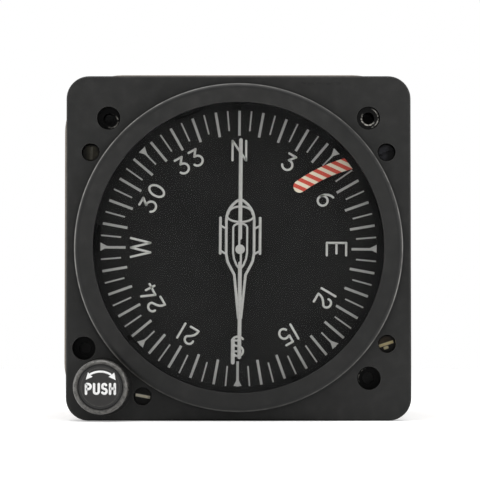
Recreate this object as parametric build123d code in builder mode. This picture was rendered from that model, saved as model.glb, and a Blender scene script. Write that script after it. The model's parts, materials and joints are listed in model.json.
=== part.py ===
"""Directional gyro for a round panel cut-out, as an assembly of its separate pieces.

Millimetres. The origin is on the dial's axis, in the plane of the flange's front face, which the
instrument panel touches. X runs to the right of the dial, Z up, and Y from the dial to the rear.
Angles about the dial are anticlockwise from X, as the pilot sees them.
"""
import os
from math import acos, cos, pi, radians, sin, sqrt, tan

from build123d import *

# Fits between pieces
seat_gap = 0.02            # radial, between pieces that are pressed or screwed together
running_gap = 0.03         # radial, between a shaft and its bearing
free_gap = 0.3             # between a moving piece and what it passes
slot_gap = 0.1             # between a fork and the collars beside it

# Panel interface: the standard round instrument of 3 1/8 inch
bolt_circle_r = 44.45
hole_margin = 10.22         # from a hole of the square to the bezel's edge
bezel_side = 2 * (bolt_circle_r / sqrt(2) + hole_margin)
panel_hole_r = 2.85
panel_hole_angles = (45.0, 135.0, 213.0, 315.0)
insert_recess = (0.6, 3.4, 4.2, 4.2)
insert_bore_r = 1.42

# Bezel
bezel_corner_r = 5.5
bezel_t = 7.0
bezel_edge_r = 0.5
ring_gap = 4.95             # from the bolt circle to the ring
ring_w = 4.5
ring_h = 5.0
ring_edge_r = 1.0
lip_t = 1.8
lip_w = 1.5
cavity_inset = 0.1
cavity_front = 0.8
ring_r = bolt_circle_r - ring_gap
ring_bore_r = ring_r - ring_w
glass_r = ring_bore_r + lip_w
cavity_r = ring_r - cavity_inset

# Glass, mask and ring
gasket_t = 0.3
glass_t = 2.2
glass_edge = 0.3
mask_w = 1.5
mask_rear_w = 0.4
retainer_inset = 0.2
retainer_t = 0.6
mask_bore_r = ring_bore_r - mask_w
mask_rear_bore_r = ring_bore_r - mask_rear_w
retainer_bore_r = ring_bore_r + retainer_inset

# Bezel screws
bezel_screw_gap = 3.1
bezel_screw_circle_r = ring_r + bezel_screw_gap
bezel_screw_angles = (32.9, 147.1, 237.1, 327.1)
screw_head_r = 2.0
screw_head_t = 2.0
screw_shank_r = 1.1
screw_slot_w = 0.6
screw_slot_d = 0.7
rear_slot_turn = 40.0
screw_well_r = 2.2
screw_well_depth = 4.6

# Case
case_overhang = 0.55
case_shift_x = -0.3
case_shift_z = 0.5
case_corner_r = 14.0
case_wall = 1.5
flange_t = 4.0
flange_lip = 0.2
case_gasket_t = 0.5
case_edge_r = 0.8
lug_inset = 7.4
lug_r = 3.6
lug_length = 10.0
gasket_margin = 5.0
panel_screw_clearance_r = 2.0
case_half = bezel_side / 2 + case_overhang
case_inner = case_half - case_wall
flange_bore_r = cavity_r - flange_lip
lug_at = case_half - lug_inset

# Rear cover and receptacle
cover_t = 3.0
cover_edge_r = 1.0
connector_side = 32.0
connector_corner_r = 3.0
connector_flange_t = 2.0
connector_hole_inset = 3.7
barrel_r = 13.0
barrel_wall = 2.4
barrel_length = 12.5
barrel_rib_h = 0.6
barrel_rib_t = 1.2
barrel_bore_r = barrel_r - barrel_wall
connector_hole_at = connector_side / 2 - connector_hole_inset
insert_r = barrel_bore_r - 5 * seat_gap
insert_inner_reach = 4.5
insert_outer_reach = 4.5
pin_r = 0.8
pin_count = 6
pin_margin = 4.3
pin_circle_r = insert_r - pin_margin
pin_reach = 3.0
pin_tail = 2.5

# Card and its shaft
card_gap = 4.4
card_t = 0.8
card_hub_r = 9.0
card_hub_neck_r = 5.0
card_hub_flange_t = 2.0
card_hub_length = 4.6
card_screw_circle_r = 7.0
card_screw_count = 3
small_head_r = 1.1
small_head_t = 0.9
small_shank_r = 0.6
card_shaft_r = 2.0
card_bearing_r = 4.5
card_bearing_w = 2.5

# Frame
bulkhead_t = 3.0
bulkhead_gap = 0.5
boss_r = 6.5
boss_gap = 0.4
boss_reach = 2.5
boss_web_bore_r = 3.4
arm_gap = 1.2
arm_t = 3.5
arm_width = 18.0
rear_plate_t = 3.0
rear_plate_gap = 3.0
rear_plate_inset = 9.5
rear_plate_corner_r = 8.0
rear_plate_side = 7.0
bulkhead_window_r = 8.0
bulkhead_window_gap = 8.0
frame_screw_gap = 2.0
card_r = cavity_r - card_gap
bulkhead_half = case_inner - bulkhead_gap
bulkhead_corner_r = case_corner_r - case_wall - bulkhead_gap
arm_outer = case_inner - arm_gap
arm_inner = arm_outer - arm_t
rear_plate_width = 2 * (arm_outer - rear_plate_inset)
rear_plate_window_r = rear_plate_width / 2 - rear_plate_side
bulkhead_window_circle_r = card_r - bulkhead_window_gap
frame_screw_circle_r = flange_bore_r + frame_screw_gap
frame_screw_angles = (57.0, 123.0, 247.0, 303.0)

# Heading train, whose three gears lie on the line from the dial's axis to the knob's
knob_gap = 2.21
knob_angle = 225.73
heading_teeth = 48
idler_teeth = 36
pinion_teeth = 12
pressure_angle = 20.0
stub_addendum = 0.8
stub_dedendum = 1.1
spur_backlash = 0.14
spur_gap = 4.5
spur_t = 2.0
pinion_t = 2.8
spur_hub_r = 4.5
pinion_hub_r = 3.0
idler_stud_r = 1.5
idler_hub_r = 3.4
idler_head_r = 2.6
idler_head_t = 1.0

# Gyro, with its centre on the dial's axis
bevel_gap = 5.0
bevel_arm_gap = 4.0
bevel_teeth = 64
bevel_face = 4.0
bevel_backlash = 0.32
bevel_web_t = 2.2
bevel_rim = 5.0
bevel_hub_r = 6.0
gimbal_gap = 2.0
gimbal_upright = 3.5
gimbal_depth = 12.0
gimbal_member = 2.8
gimbal_corner_r = 4.0
gimbal_window_corner_r = 2.5
gimbal_pivot_r = 2.0
gimbal_bearing_r = 4.0
slip_ring_r = 5.0
slip_core_r = 4.4
slip_ring_t = 1.0
slip_ring_count = 3
slip_gap = 2.0
tilt_pivot_r = 1.5
tilt_bearing_r = 3.5
tilt_boss_r = 4.2
rotor_case_share = 0.59375   # of the bevel gears' pitch radius
rotor_case_squat = 0.816     # half its length over its radius
rotor_case_wall = 1.2
rotor_case_end = 2.0
rotor_case_split = 5.0
rotor_case_edge_r = 2.0
rotor_gap = 1.3
rotor_rim_share = 0.6667     # the rim's bore over the rotor's radius
rotor_share = 0.58           # the rotor's length over its case's
rotor_web_t = 3.0
rotor_shaft_r = 1.5
rotor_bearing_r = 3.5
rotor_bearing_w = 2.2
rotor_boss_r = 5.0
rotor_boss_t = 2.5
stator_gap = 1.0
stator_slot_w = 2.0
stator_bore_r = 2.6
stator_front = 4.0
stator_slots = 6

# Setting knob
knob_r = 6.5
knob_length = 9.0
knob_rear = 5.3
knob_rim_w = 1.1
knob_groove_w = 0.25
knob_groove_d = 0.6
knob_edge_r = 0.9
knob_flutes = 30
knob_flute_r = 0.5
knob_flute_d = 0.3
knob_band = 0.6              # plain stretch at each end of the flutes
knob_skirt_bore_r = 4.3
knob_skirt_depth = 4.2
knob_shaft_r = 2.0
knob_shaft_tail = 6.0
knob_cap_t = 2.0
push_travel = 4.0
knob_recess_r = 7.1
knob_recess_depth = 0.3
bushing_r = 4.0
bushing_flange_r = 5.0
bushing_flange_t = 1.2
seal_groove_front = 3.0
seal_r = 0.55
set_screw_r = 1.0
set_screw_depth = 2.9
spring_r = 3.1
spring_wire_r = 0.25
spring_turns = 6
fork_gap = 3.0
fork_t = 1.5
collar_r = 3.2
collar_t = 1.0
guide_offset = (-4.1, 15.1)
guide_r = 1.5
guide_tail = 3.5
fork_margin = 1.2

# Warning flag, which hides behind the mask when it is turned by flag_swing
flag_pivot_inset = 2.2
flag_angle = 35.0
flag_span = 26.3
flag_w = 3.0
flag_t = 0.3
flag_card_gap = 0.8
flag_swing = 64.0
flag_hub_r = 1.6
flag_shaft_r = 0.6
flag_bushing_r = 1.8
flag_coil_r = 4.5
flag_coil_length = 7.5
flag_coil_gap = 0.2

# Electronics
board_gap = 14.0
board_t = 1.6
board_margin = 1.0
board_end_margin = 5.5
board_corner_r = 2.0
standoff_r = 2.5
standoff_inset = 6.0
transformer_w = 26.0
transformer_h = 24.0
transformer_length = 18.0
transformer_inset = 13.5
transformer_z = 15.0
transformer_edge_r = 1.0
winding_margin = 2.5
core_w = 7.0
capacitor_r = 6.0
capacitor_length = 20.0
capacitor_inset = 12.0
capacitor_z = (18.0, 2.0)
capacitor_edge_r = 0.8
rear_room = 26.4             # from the board to the rear edge of the case
brush_block_w = 10.0
brush_block_depth = 8.0
brush_block_edge_r = 1.0
brush_block_gap = 0.8
brush_reach = 2.0
brush_r = 0.35
harness_r = 1.8
harness_inset = 17.0
harness_z = -20.0
screw_spare = 2.0
short_screw_spare = 1.0

# Places across the dial that follow from the sizes above
bevel_pitch_r = arm_inner - bevel_arm_gap
gimbal_half_height = bevel_pitch_r - bevel_face
gimbal_half_width = gimbal_half_height - gimbal_gap
gimbal_inner_width = gimbal_half_width - gimbal_upright
rotor_case_r = rotor_case_share * bevel_pitch_r
rotor_case_half = rotor_case_squat * rotor_case_r
rotor_r = rotor_case_r - rotor_case_wall - rotor_gap
rotor_rim_r = rotor_rim_share * rotor_r
rotor_half = rotor_share * rotor_case_half
stator_r = rotor_rim_r - stator_gap
knob_circle_r = bolt_circle_r + knob_gap
train_module = 2 * knob_circle_r / (heading_teeth + 2 * idler_teeth + pinion_teeth)
idler_circle_r = train_module * (heading_teeth + idler_teeth) / 2
bevel_module = 2 * bevel_pitch_r / bevel_teeth
cone_length = bevel_pitch_r * sqrt(2)
flag_pivot_r = cavity_r - flag_pivot_inset
slip_stack = arm_inner - gimbal_half_height - slip_gap
brush_block_bottom = gimbal_half_height + brush_block_gap
board_width = rear_plate_width - 2 * board_margin
board_height = 2 * (arm_outer - board_end_margin)
standoff_x = board_width / 2 - standoff_inset
transformer_at = (transformer_inset - board_width / 2, transformer_z)
capacitor_at = [(board_width / 2 - capacitor_inset, z) for z in capacitor_z]
harness_at = (board_width / 2 - harness_inset, harness_z)
standoff_z = board_height / 2 - standoff_inset

# Places along Y that follow from the sizes above
lip_rear = -ring_h + lip_t
glass_front = lip_rear + gasket_t
glass_rear = glass_front + glass_t
retainer_rear = cavity_front + retainer_t
flag_front = retainer_rear + free_gap
card_front = flag_front + flag_t + flag_card_gap
card_rear = card_front + card_t
case_front = bezel_t + case_gasket_t
flange_rear = case_front + flange_t
bulkhead_rear = flange_rear + bulkhead_t
boss_front = card_rear + card_hub_length + boss_gap
boss_rear = bulkhead_rear + boss_reach
spur_front = bulkhead_rear + spur_gap
spur_rear = spur_front + spur_t
bevel_front = spur_rear + bevel_gap
bevel_rear = bevel_front + bevel_face
gyro_y = bevel_front + bevel_pitch_r
card_shaft_end = bevel_rear - free_gap
rear_plate_front = gyro_y + bevel_pitch_r + rear_plate_gap
rear_plate_rear = rear_plate_front + rear_plate_t
board_front = rear_plate_rear + board_gap
board_rear = board_front + board_t
case_rear = board_rear + rear_room
cover_front = case_rear + case_gasket_t
cover_rear = cover_front + cover_t
barrel_front = cover_rear + connector_flange_t
barrel_end = barrel_front + barrel_length
insert_front = cover_front - insert_inner_reach
insert_end = barrel_front + insert_outer_reach
pin_end = insert_end + pin_reach
pinion_front = spur_front + slot_gap - push_travel
fork_front = spur_rear + fork_gap
knob_shaft_end = fork_front + knob_shaft_tail
guide_end = fork_front + fork_t + push_travel + guide_tail
knob_front = -knob_rear - knob_length
knob_shaft_front = knob_front + knob_cap_t
spring_front = -knob_rear - knob_skirt_depth
spring_rear = knob_recess_depth - bushing_flange_t
flag_coil_front = bulkhead_rear + flag_coil_gap
brush_block_front = gyro_y + slip_ring_r + brush_reach
gimbal_gear_hub_end = (-bevel_pitch_r - arm_inner) / 2


def on_circle(radius, angle):
    """A point on a circle about the dial's axis."""
    return (radius * cos(radians(angle)), radius * sin(radians(angle)))


def at_depth(y):
    """A plane parallel to the dial at the depth y, facing the pilot."""
    return Plane.XZ.offset(-y)


def facing(point, y):
    """A plane parallel to the dial at the depth y, with its origin behind a point of the dial's face."""
    return Plane(origin=(point[0], y, point[1]), x_dir=(1, 0, 0), z_dir=(0, -1, 0))


def beside(point):
    """A plane through a point of the dial's face, along Y, for the profile of a turned piece."""
    return Plane(origin=(point[0], 0, point[1]), x_dir=(1, 0, 0), z_dir=(0, 0, 1))


def turning_axis(point):
    """The axis of a turned piece that points straight back from a point of the dial's face."""
    return Axis((point[0], 0, point[1]), (0, 1, 0))


def keep(piece, name):
    """Name a finished piece and write its file."""
    piece.part.label = name
    export_step(piece.part, f"parts/{name}.step")


def involute(angle):
    """The involute function of an angle in radians."""
    return tan(angle) - angle


def spur_outline(teeth, phase):
    """Corners of a stub involute gear, with one tooth centred at the angle phase."""
    pitch_r = train_module * teeth / 2
    base_r = pitch_r * cos(radians(pressure_angle))
    root_r = pitch_r - stub_dedendum * train_module
    tip_r = pitch_r + stub_addendum * train_module
    flank = [max(base_r, root_r), pitch_r, tip_r]
    half_pitch = pi / 2 / teeth - spur_backlash / 2 / pitch_r + involute(radians(pressure_angle))
    halves = [(r, half_pitch - involute(acos(min(1.0, base_r / r)))) for r in flank]
    if root_r < base_r:
        halves.insert(0, (root_r, halves[0][1]))
    points = []
    for tooth in range(teeth):
        middle = radians(phase) + 2 * pi * tooth / teeth
        rising = [(r * cos(middle - half), r * sin(middle - half)) for r, half in halves]
        falling = [(r * cos(middle + half), r * sin(middle + half)) for r, half in reversed(halves)]
        points += rising + falling
    return points


def bevel_outline(axial, phase):
    """Section across a mitre gear at a distance from its apex, with a tooth at the angle phase."""
    size = axial / bevel_pitch_r
    halves = []
    for height in (-stub_dedendum * bevel_module, stub_addendum * bevel_module):
        r = axial * tan(pi / 4 + height / cone_length)
        half_w = pi * bevel_module / 4 - height * tan(radians(pressure_angle)) - bevel_backlash / 2
        halves.append((r, half_w * size / r))
    points = []
    for tooth in range(bevel_teeth):
        middle = radians(phase) + 2 * pi * tooth / bevel_teeth
        points += [(r * cos(middle - half), r * sin(middle - half)) for r, half in halves]
        points += [(r * cos(middle + half), r * sin(middle + half)) for r, half in reversed(halves)]
    return points


os.makedirs("parts", exist_ok=True)

panel_holes = [on_circle(bolt_circle_r, angle) for angle in panel_hole_angles]
bezel_screw_holes = [on_circle(bezel_screw_circle_r, angle) for angle in bezel_screw_angles]
frame_screw_holes = [on_circle(frame_screw_circle_r, angle) for angle in frame_screw_angles]
knob_at = on_circle(knob_circle_r, knob_angle)
idler_at = on_circle(idler_circle_r, knob_angle)
flag_at = on_circle(flag_pivot_r, flag_angle)
guide_at = (knob_at[0] + guide_offset[0], knob_at[1] + guide_offset[1])
lugs = [(case_shift_x + sx * lug_at, case_shift_z + sz * lug_at) for sx in (-1, 1) for sz in (-1, 1)]
connector_holes = [(sx * connector_hole_at, sz * connector_hole_at) for sx in (-1, 1) for sz in (-1, 1)]
standoffs = [(sx * standoff_x, sz * standoff_z) for sx in (-1, 1) for sz in (-1, 1)]

# Bezel: a square flange with a raised ring that fills the round cut-out of the panel
with BuildPart() as bezel:
    with BuildSketch(at_depth(0)):
        RectangleRounded(bezel_side, bezel_side, bezel_corner_r)
    extrude(amount=-bezel_t)
    fillet(bezel.faces().sort_by(Axis.Y)[0].edges(), bezel_edge_r)
    with BuildSketch(at_depth(0)):
        Circle(ring_r)
    extrude(amount=ring_h)
    fillet(bezel.faces().sort_by(Axis.Y)[0].edges(), ring_edge_r)
    with BuildSketch(at_depth(-ring_h)):
        Circle(ring_bore_r)
    extrude(amount=-lip_t, mode=Mode.SUBTRACT)
    with BuildSketch(at_depth(lip_rear)):
        Circle(glass_r + seat_gap)
    extrude(amount=lip_rear - bezel_t, mode=Mode.SUBTRACT)
    with BuildSketch(at_depth(cavity_front)):
        Circle(cavity_r)
    extrude(amount=cavity_front - bezel_t, mode=Mode.SUBTRACT)
    with BuildSketch(at_depth(0)):
        with Locations(*panel_holes):
            Circle(panel_hole_r)
        with Locations(*bezel_screw_holes):
            Circle(screw_shank_r + seat_gap)
        with Locations(knob_at):
            Circle(bushing_r)
    extrude(amount=-bezel_t, mode=Mode.SUBTRACT)
    with BuildSketch(at_depth(0)):
        with Locations(*bezel_screw_holes):
            Circle(screw_well_r)
    extrude(amount=-screw_well_depth, mode=Mode.SUBTRACT)
    with BuildSketch(at_depth(0)):
        with Locations(knob_at):
            Circle(knob_recess_r)
    extrude(amount=-knob_recess_depth, mode=Mode.SUBTRACT)
keep(bezel, "bezel")

# Slotted screws that hold the bezel to the flange of the case
with BuildPart() as bezel_screws:
    for x, z in bezel_screw_holes:
        with BuildSketch(at_depth(screw_well_depth - screw_head_t)):
            with Locations((x, z)):
                Circle(screw_head_r)
        extrude(amount=-screw_head_t)
        with BuildSketch(at_depth(screw_well_depth)):
            with Locations((x, z)):
                Circle(screw_shank_r)
        extrude(amount=screw_well_depth - flange_rear)
    with BuildSketch(at_depth(screw_well_depth - screw_head_t)):
        for point, turn in zip(bezel_screw_holes, (20.0, 88.0, -10.0, 18.0)):
            with Locations(Location(point, turn)):
                Rectangle(2 * screw_head_r, screw_slot_w)
    extrude(amount=-screw_slot_d, mode=Mode.SUBTRACT)
keep(bezel_screws, "bezel_screws")

# Threaded inserts that take the panel's screws, each as deep in its hole as it sits
with BuildPart() as panel_inserts:
    for point, recess in zip(panel_holes, insert_recess):
        with BuildSketch(at_depth(recess)):
            with Locations(point):
                Circle(panel_hole_r - seat_gap)
                Circle(insert_bore_r, mode=Mode.SUBTRACT)
        extrude(amount=recess - bezel_t)
keep(panel_inserts, "panel_inserts")

# Gasket in front of the glass
with BuildPart() as glass_gasket:
    with BuildSketch(at_depth(lip_rear)):
        Circle(glass_r)
        Circle(ring_bore_r, mode=Mode.SUBTRACT)
    extrude(amount=-gasket_t)
keep(glass_gasket, "glass_gasket")

# Cover glass with ground edges
with BuildPart() as cover_glass:
    with BuildSketch(at_depth(glass_front)):
        Circle(glass_r)
    extrude(amount=-glass_t)
    chamfer(cover_glass.edges().filter_by(GeomType.CIRCLE), glass_edge)
keep(cover_glass, "cover_glass")

# Black mask behind the glass, bored out towards the card
with BuildPart() as dial_mask:
    with BuildSketch(Plane.XY):
        with BuildLine():
            Polyline(
                (mask_bore_r, glass_rear),
                (glass_r, glass_rear),
                (glass_r, cavity_front),
                (mask_rear_bore_r, cavity_front),
                close=True,
            )
        make_face()
    revolve(axis=Axis.Y)
keep(dial_mask, "dial_mask")

# Flat ring that holds mask and glass against the lip
with BuildPart() as mask_retaining_ring:
    with BuildSketch(at_depth(cavity_front)):
        Circle(cavity_r - seat_gap)
        Circle(retainer_bore_r, mode=Mode.SUBTRACT)
    extrude(amount=-retainer_t)
keep(mask_retaining_ring, "mask_retaining_ring")


def case_outline(inset):
    """The rounded square of the case, made smaller by inset all round."""
    with Locations((case_shift_x, case_shift_z)):
        RectangleRounded(2 * (case_half - inset), 2 * (case_half - inset), case_corner_r - inset)


# Gasket between bezel and case
with BuildPart() as bezel_gasket:
    with BuildSketch(at_depth(bezel_t)):
        case_outline(case_wall)
        Circle(cavity_r, mode=Mode.SUBTRACT)
        with Locations(*bezel_screw_holes):
            Circle(screw_shank_r + seat_gap, mode=Mode.SUBTRACT)
        with Locations(knob_at):
            Circle(bushing_r, mode=Mode.SUBTRACT)
    extrude(amount=-case_gasket_t)
keep(bezel_gasket, "bezel_gasket")

# Case: a deep can with a flange in front and four screw lugs inside its rear corners
with BuildPart() as case_shell:
    with BuildSketch(at_depth(case_front)):
        case_outline(0)
    extrude(amount=case_front - case_rear)
    fillet(case_shell.faces().sort_by(Axis.Y)[0].edges(), case_edge_r)
    with BuildSketch(at_depth(flange_rear)):
        case_outline(case_wall)
    extrude(amount=flange_rear - case_rear, mode=Mode.SUBTRACT)
    with BuildSketch(at_depth(case_front)):
        Circle(flange_bore_r)
        with Locations(*panel_holes):
            Circle(panel_screw_clearance_r)
        with Locations(*bezel_screw_holes, *frame_screw_holes):
            Circle(screw_shank_r + seat_gap)
        with Locations(knob_at):
            Circle(bushing_r)
    extrude(amount=-flange_t, mode=Mode.SUBTRACT)
    with BuildSketch(at_depth(case_rear - lug_length)):
        with Locations(*lugs):
            Circle(lug_r)
    extrude(amount=-lug_length)
    with BuildSketch(at_depth(case_rear - lug_length)):
        with Locations(*lugs):
            Circle(screw_shank_r + seat_gap)
    extrude(amount=-lug_length, mode=Mode.SUBTRACT)
keep(case_shell, "case_shell")

# Gasket and cover at the rear
with BuildPart() as rear_cover_gasket:
    with BuildSketch(at_depth(case_rear)):
        case_outline(0)
        with Locations((case_shift_x, case_shift_z)):
            RectangleRounded(
                2 * (case_half - gasket_margin),
                2 * (case_half - gasket_margin),
                case_corner_r,
                mode=Mode.SUBTRACT,
            )
        with Locations(*lugs):
            Circle(screw_shank_r + seat_gap, mode=Mode.SUBTRACT)
    extrude(amount=-case_gasket_t)
keep(rear_cover_gasket, "rear_cover_gasket")

with BuildPart() as rear_cover:
    with BuildSketch(at_depth(cover_front)):
        case_outline(0)
        Circle(barrel_bore_r, mode=Mode.SUBTRACT)
        with Locations(*lugs, *connector_holes):
            Circle(screw_shank_r + seat_gap, mode=Mode.SUBTRACT)
    extrude(amount=-cover_t)
    outer_rim = rear_cover.faces().sort_by(Axis.Y)[-1].outer_wire().edges()
    fillet(outer_rim, cover_edge_r)
keep(rear_cover, "rear_cover")


def rear_screws(points, seat, reach):
    """Slotted screws whose heads stand on the plane at depth seat and whose shanks reach forwards."""
    with BuildPart() as screws:
        with BuildSketch(at_depth(seat)):
            with Locations(*points):
                Circle(screw_head_r)
        extrude(amount=-screw_head_t)
        with BuildSketch(at_depth(seat)):
            with Locations(*points):
                Circle(screw_shank_r)
        extrude(amount=reach)
        with BuildSketch(at_depth(seat + screw_head_t - screw_slot_d)):
            with Locations(*points):
                Rectangle(2 * screw_head_r, screw_slot_w, rotation=rear_slot_turn)
        extrude(amount=-screw_slot_d, mode=Mode.SUBTRACT)
    return screws


rear_cover_screws = rear_screws(lugs, cover_rear, cover_t + case_gasket_t + lug_length - screw_spare)
keep(rear_cover_screws, "rear_cover_screws")

connector_screws = rear_screws(connector_holes, barrel_front, connector_flange_t + cover_t)
keep(connector_screws, "connector_screws")

# Receptacle: square flange, ribbed barrel, insulating insert and pins
with BuildPart() as connector_shell:
    with BuildSketch(at_depth(cover_rear)):
        RectangleRounded(connector_side, connector_side, connector_corner_r)
        with Locations(*connector_holes):
            Circle(screw_shank_r + seat_gap, mode=Mode.SUBTRACT)
    extrude(amount=-connector_flange_t)
    with BuildSketch(at_depth(barrel_front)):
        Circle(barrel_r)
    extrude(amount=-barrel_length)
    with BuildSketch(at_depth(barrel_front + barrel_length / 2)):
        Circle(barrel_r + barrel_rib_h)
    extrude(amount=-barrel_rib_t)
    with BuildSketch(at_depth(cover_rear)):
        Circle(barrel_bore_r)
    extrude(amount=cover_rear - barrel_end, mode=Mode.SUBTRACT)
keep(connector_shell, "connector_shell")

with BuildPart() as connector_insert:
    with BuildSketch(at_depth(insert_front)):
        Circle(insert_r)
        with PolarLocations(pin_circle_r, pin_count):
            Circle(pin_r + seat_gap, mode=Mode.SUBTRACT)
    extrude(amount=insert_front - insert_end)
keep(connector_insert, "connector_insert")

with BuildPart() as connector_pins:
    with BuildSketch(at_depth(insert_front - pin_tail)):
        with PolarLocations(pin_circle_r, pin_count):
            Circle(pin_r)
    extrude(amount=insert_front - pin_tail - pin_end)
keep(connector_pins, "connector_pins")

# Frame: bulkhead with the card's bearing boss, two arms for the gimbal's pivots, rear plate
with BuildPart() as gyro_frame:
    with BuildSketch(at_depth(flange_rear)):
        with Locations((case_shift_x, case_shift_z)):
            RectangleRounded(2 * bulkhead_half, 2 * bulkhead_half, bulkhead_corner_r)
        with Locations(*lugs):
            Circle(lug_r + 2 * free_gap, mode=Mode.SUBTRACT)
        with Locations(knob_at):
            Circle(knob_shaft_r + 2 * free_gap, mode=Mode.SUBTRACT)
        with Locations(on_circle(bulkhead_window_circle_r, 135), on_circle(bulkhead_window_circle_r, 315)):
            Circle(bulkhead_window_r, mode=Mode.SUBTRACT)
        with Locations(*frame_screw_holes):
            Circle(screw_shank_r + seat_gap, mode=Mode.SUBTRACT)
        with Locations(idler_at):
            Circle(idler_stud_r + seat_gap, mode=Mode.SUBTRACT)
        with Locations(guide_at):
            Circle(guide_r + seat_gap, mode=Mode.SUBTRACT)
        with Locations(flag_at):
            Circle(flag_bushing_r + seat_gap, mode=Mode.SUBTRACT)
    extrude(amount=-bulkhead_t)
    with BuildSketch(at_depth(boss_front)):
        Circle(boss_r)
    extrude(amount=boss_front - boss_rear)
    with BuildSketch(at_depth(boss_front)):
        Circle(boss_web_bore_r)
    extrude(amount=boss_front - boss_rear, mode=Mode.SUBTRACT)
    for seat in (boss_front, boss_rear - card_bearing_w):
        with BuildSketch(at_depth(seat)):
            Circle(card_bearing_r + seat_gap)
        extrude(amount=-card_bearing_w, mode=Mode.SUBTRACT)
    for side in (1, -1):
        with BuildSketch(Plane.XY.offset(side * arm_inner)):
            with Locations((0, (flange_rear + rear_plate_rear) / 2)):
                Rectangle(arm_width, rear_plate_rear - flange_rear)
        extrude(amount=side * arm_t)
    with BuildSketch(at_depth(rear_plate_front)):
        RectangleRounded(rear_plate_width, 2 * arm_outer, rear_plate_corner_r)
        Circle(rear_plate_window_r, mode=Mode.SUBTRACT)
    extrude(amount=-rear_plate_t)
    with Locations((0, gyro_y, 0)):
        Cylinder(gimbal_bearing_r + seat_gap, 2 * arm_outer, mode=Mode.SUBTRACT)
keep(gyro_frame, "gyro_frame")

frame_screws = rear_screws(frame_screw_holes, bulkhead_rear, bulkhead_t + flange_t - short_screw_spare)
keep(frame_screws, "frame_screws")

# Card, its hub, screws, shaft and bearings
card_screw_holes = [on_circle(card_screw_circle_r, 360 * i / card_screw_count) for i in range(card_screw_count)]

with BuildPart() as compass_card:
    with BuildSketch(at_depth(card_front)):
        Circle(card_r)
        with Locations(*card_screw_holes):
            Circle(small_shank_r + seat_gap, mode=Mode.SUBTRACT)
    extrude(amount=-card_t)
keep(compass_card, "compass_card")

with BuildPart() as card_hub:
    with BuildSketch(at_depth(card_rear)):
        Circle(card_hub_r)
        with Locations(*card_screw_holes):
            Circle(small_shank_r + seat_gap, mode=Mode.SUBTRACT)
    extrude(amount=-card_hub_flange_t)
    with BuildSketch(at_depth(card_rear)):
        Circle(card_hub_neck_r)
    extrude(amount=-card_hub_length)
    with BuildSketch(at_depth(card_rear)):
        Circle(card_shaft_r + seat_gap)
    extrude(amount=-card_hub_length, mode=Mode.SUBTRACT)
keep(card_hub, "card_hub")

with BuildPart() as card_screws:
    with BuildSketch(at_depth(card_rear + card_hub_flange_t)):
        with Locations(*card_screw_holes):
            Circle(small_head_r)
    extrude(amount=-small_head_t)
    with BuildSketch(at_depth(card_rear + card_hub_flange_t)):
        with Locations(*card_screw_holes):
            Circle(small_shank_r)
    extrude(amount=card_hub_flange_t + card_t)
keep(card_screws, "card_screws")

with BuildPart() as card_shaft:
    with BuildSketch(at_depth(card_rear)):
        Circle(card_shaft_r)
    extrude(amount=card_rear - card_shaft_end)
keep(card_shaft, "card_shaft")

with BuildPart() as card_bearings:
    for seat in (boss_front, boss_rear - card_bearing_w):
        with BuildSketch(at_depth(seat)):
            Circle(card_bearing_r)
            Circle(card_shaft_r + running_gap, mode=Mode.SUBTRACT)
        extrude(amount=-card_bearing_w)
keep(card_bearings, "card_bearings")

# Heading gear on the card's shaft, idler on its stud, and the knob's pinion that is pushed into mesh
with BuildPart() as heading_gear:
    with BuildSketch(at_depth(spur_front)):
        with BuildLine():
            Polyline(*spur_outline(heading_teeth, knob_angle), close=True)
        make_face()
        with PolarLocations(train_module * heading_teeth / 4 + spur_hub_r / 2, 6):
            Circle(spur_hub_r / 2, mode=Mode.SUBTRACT)
    extrude(amount=-spur_t)
    with BuildSketch(at_depth(boss_rear + free_gap)):
        Circle(spur_hub_r)
    extrude(amount=boss_rear + free_gap - spur_rear)
    with BuildSketch(at_depth(boss_rear + free_gap)):
        Circle(card_shaft_r + seat_gap)
    extrude(amount=boss_rear + free_gap - spur_rear, mode=Mode.SUBTRACT)
keep(heading_gear, "heading_gear")

with BuildPart() as idler_gear:
    with BuildSketch(facing(idler_at, spur_front)):
        with BuildLine():
            Polyline(*spur_outline(idler_teeth, knob_angle - 180 + 180 / idler_teeth), close=True)
        make_face()
        with PolarLocations(train_module * idler_teeth / 4 + idler_hub_r / 2, 5):
            Circle(idler_hub_r / 2 + idler_stud_r / 2, mode=Mode.SUBTRACT)
    extrude(amount=-spur_t)
    with BuildSketch(facing(idler_at, bulkhead_rear + free_gap)):
        Circle(idler_hub_r)
    extrude(amount=bulkhead_rear + free_gap - spur_front)
    with BuildSketch(facing(idler_at, bulkhead_rear)):
        Circle(idler_stud_r + running_gap)
    extrude(amount=bulkhead_rear - spur_rear, mode=Mode.SUBTRACT)
keep(idler_gear, "idler_gear")

with BuildPart() as idler_stud:
    with BuildSketch(at_depth(flange_rear)):
        with Locations(idler_at):
            Circle(idler_stud_r)
    extrude(amount=flange_rear - spur_rear - free_gap)
    with BuildSketch(at_depth(spur_rear + free_gap)):
        with Locations(idler_at):
            Circle(idler_head_r)
    extrude(amount=-idler_head_t)
keep(idler_stud, "idler_stud")

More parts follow.
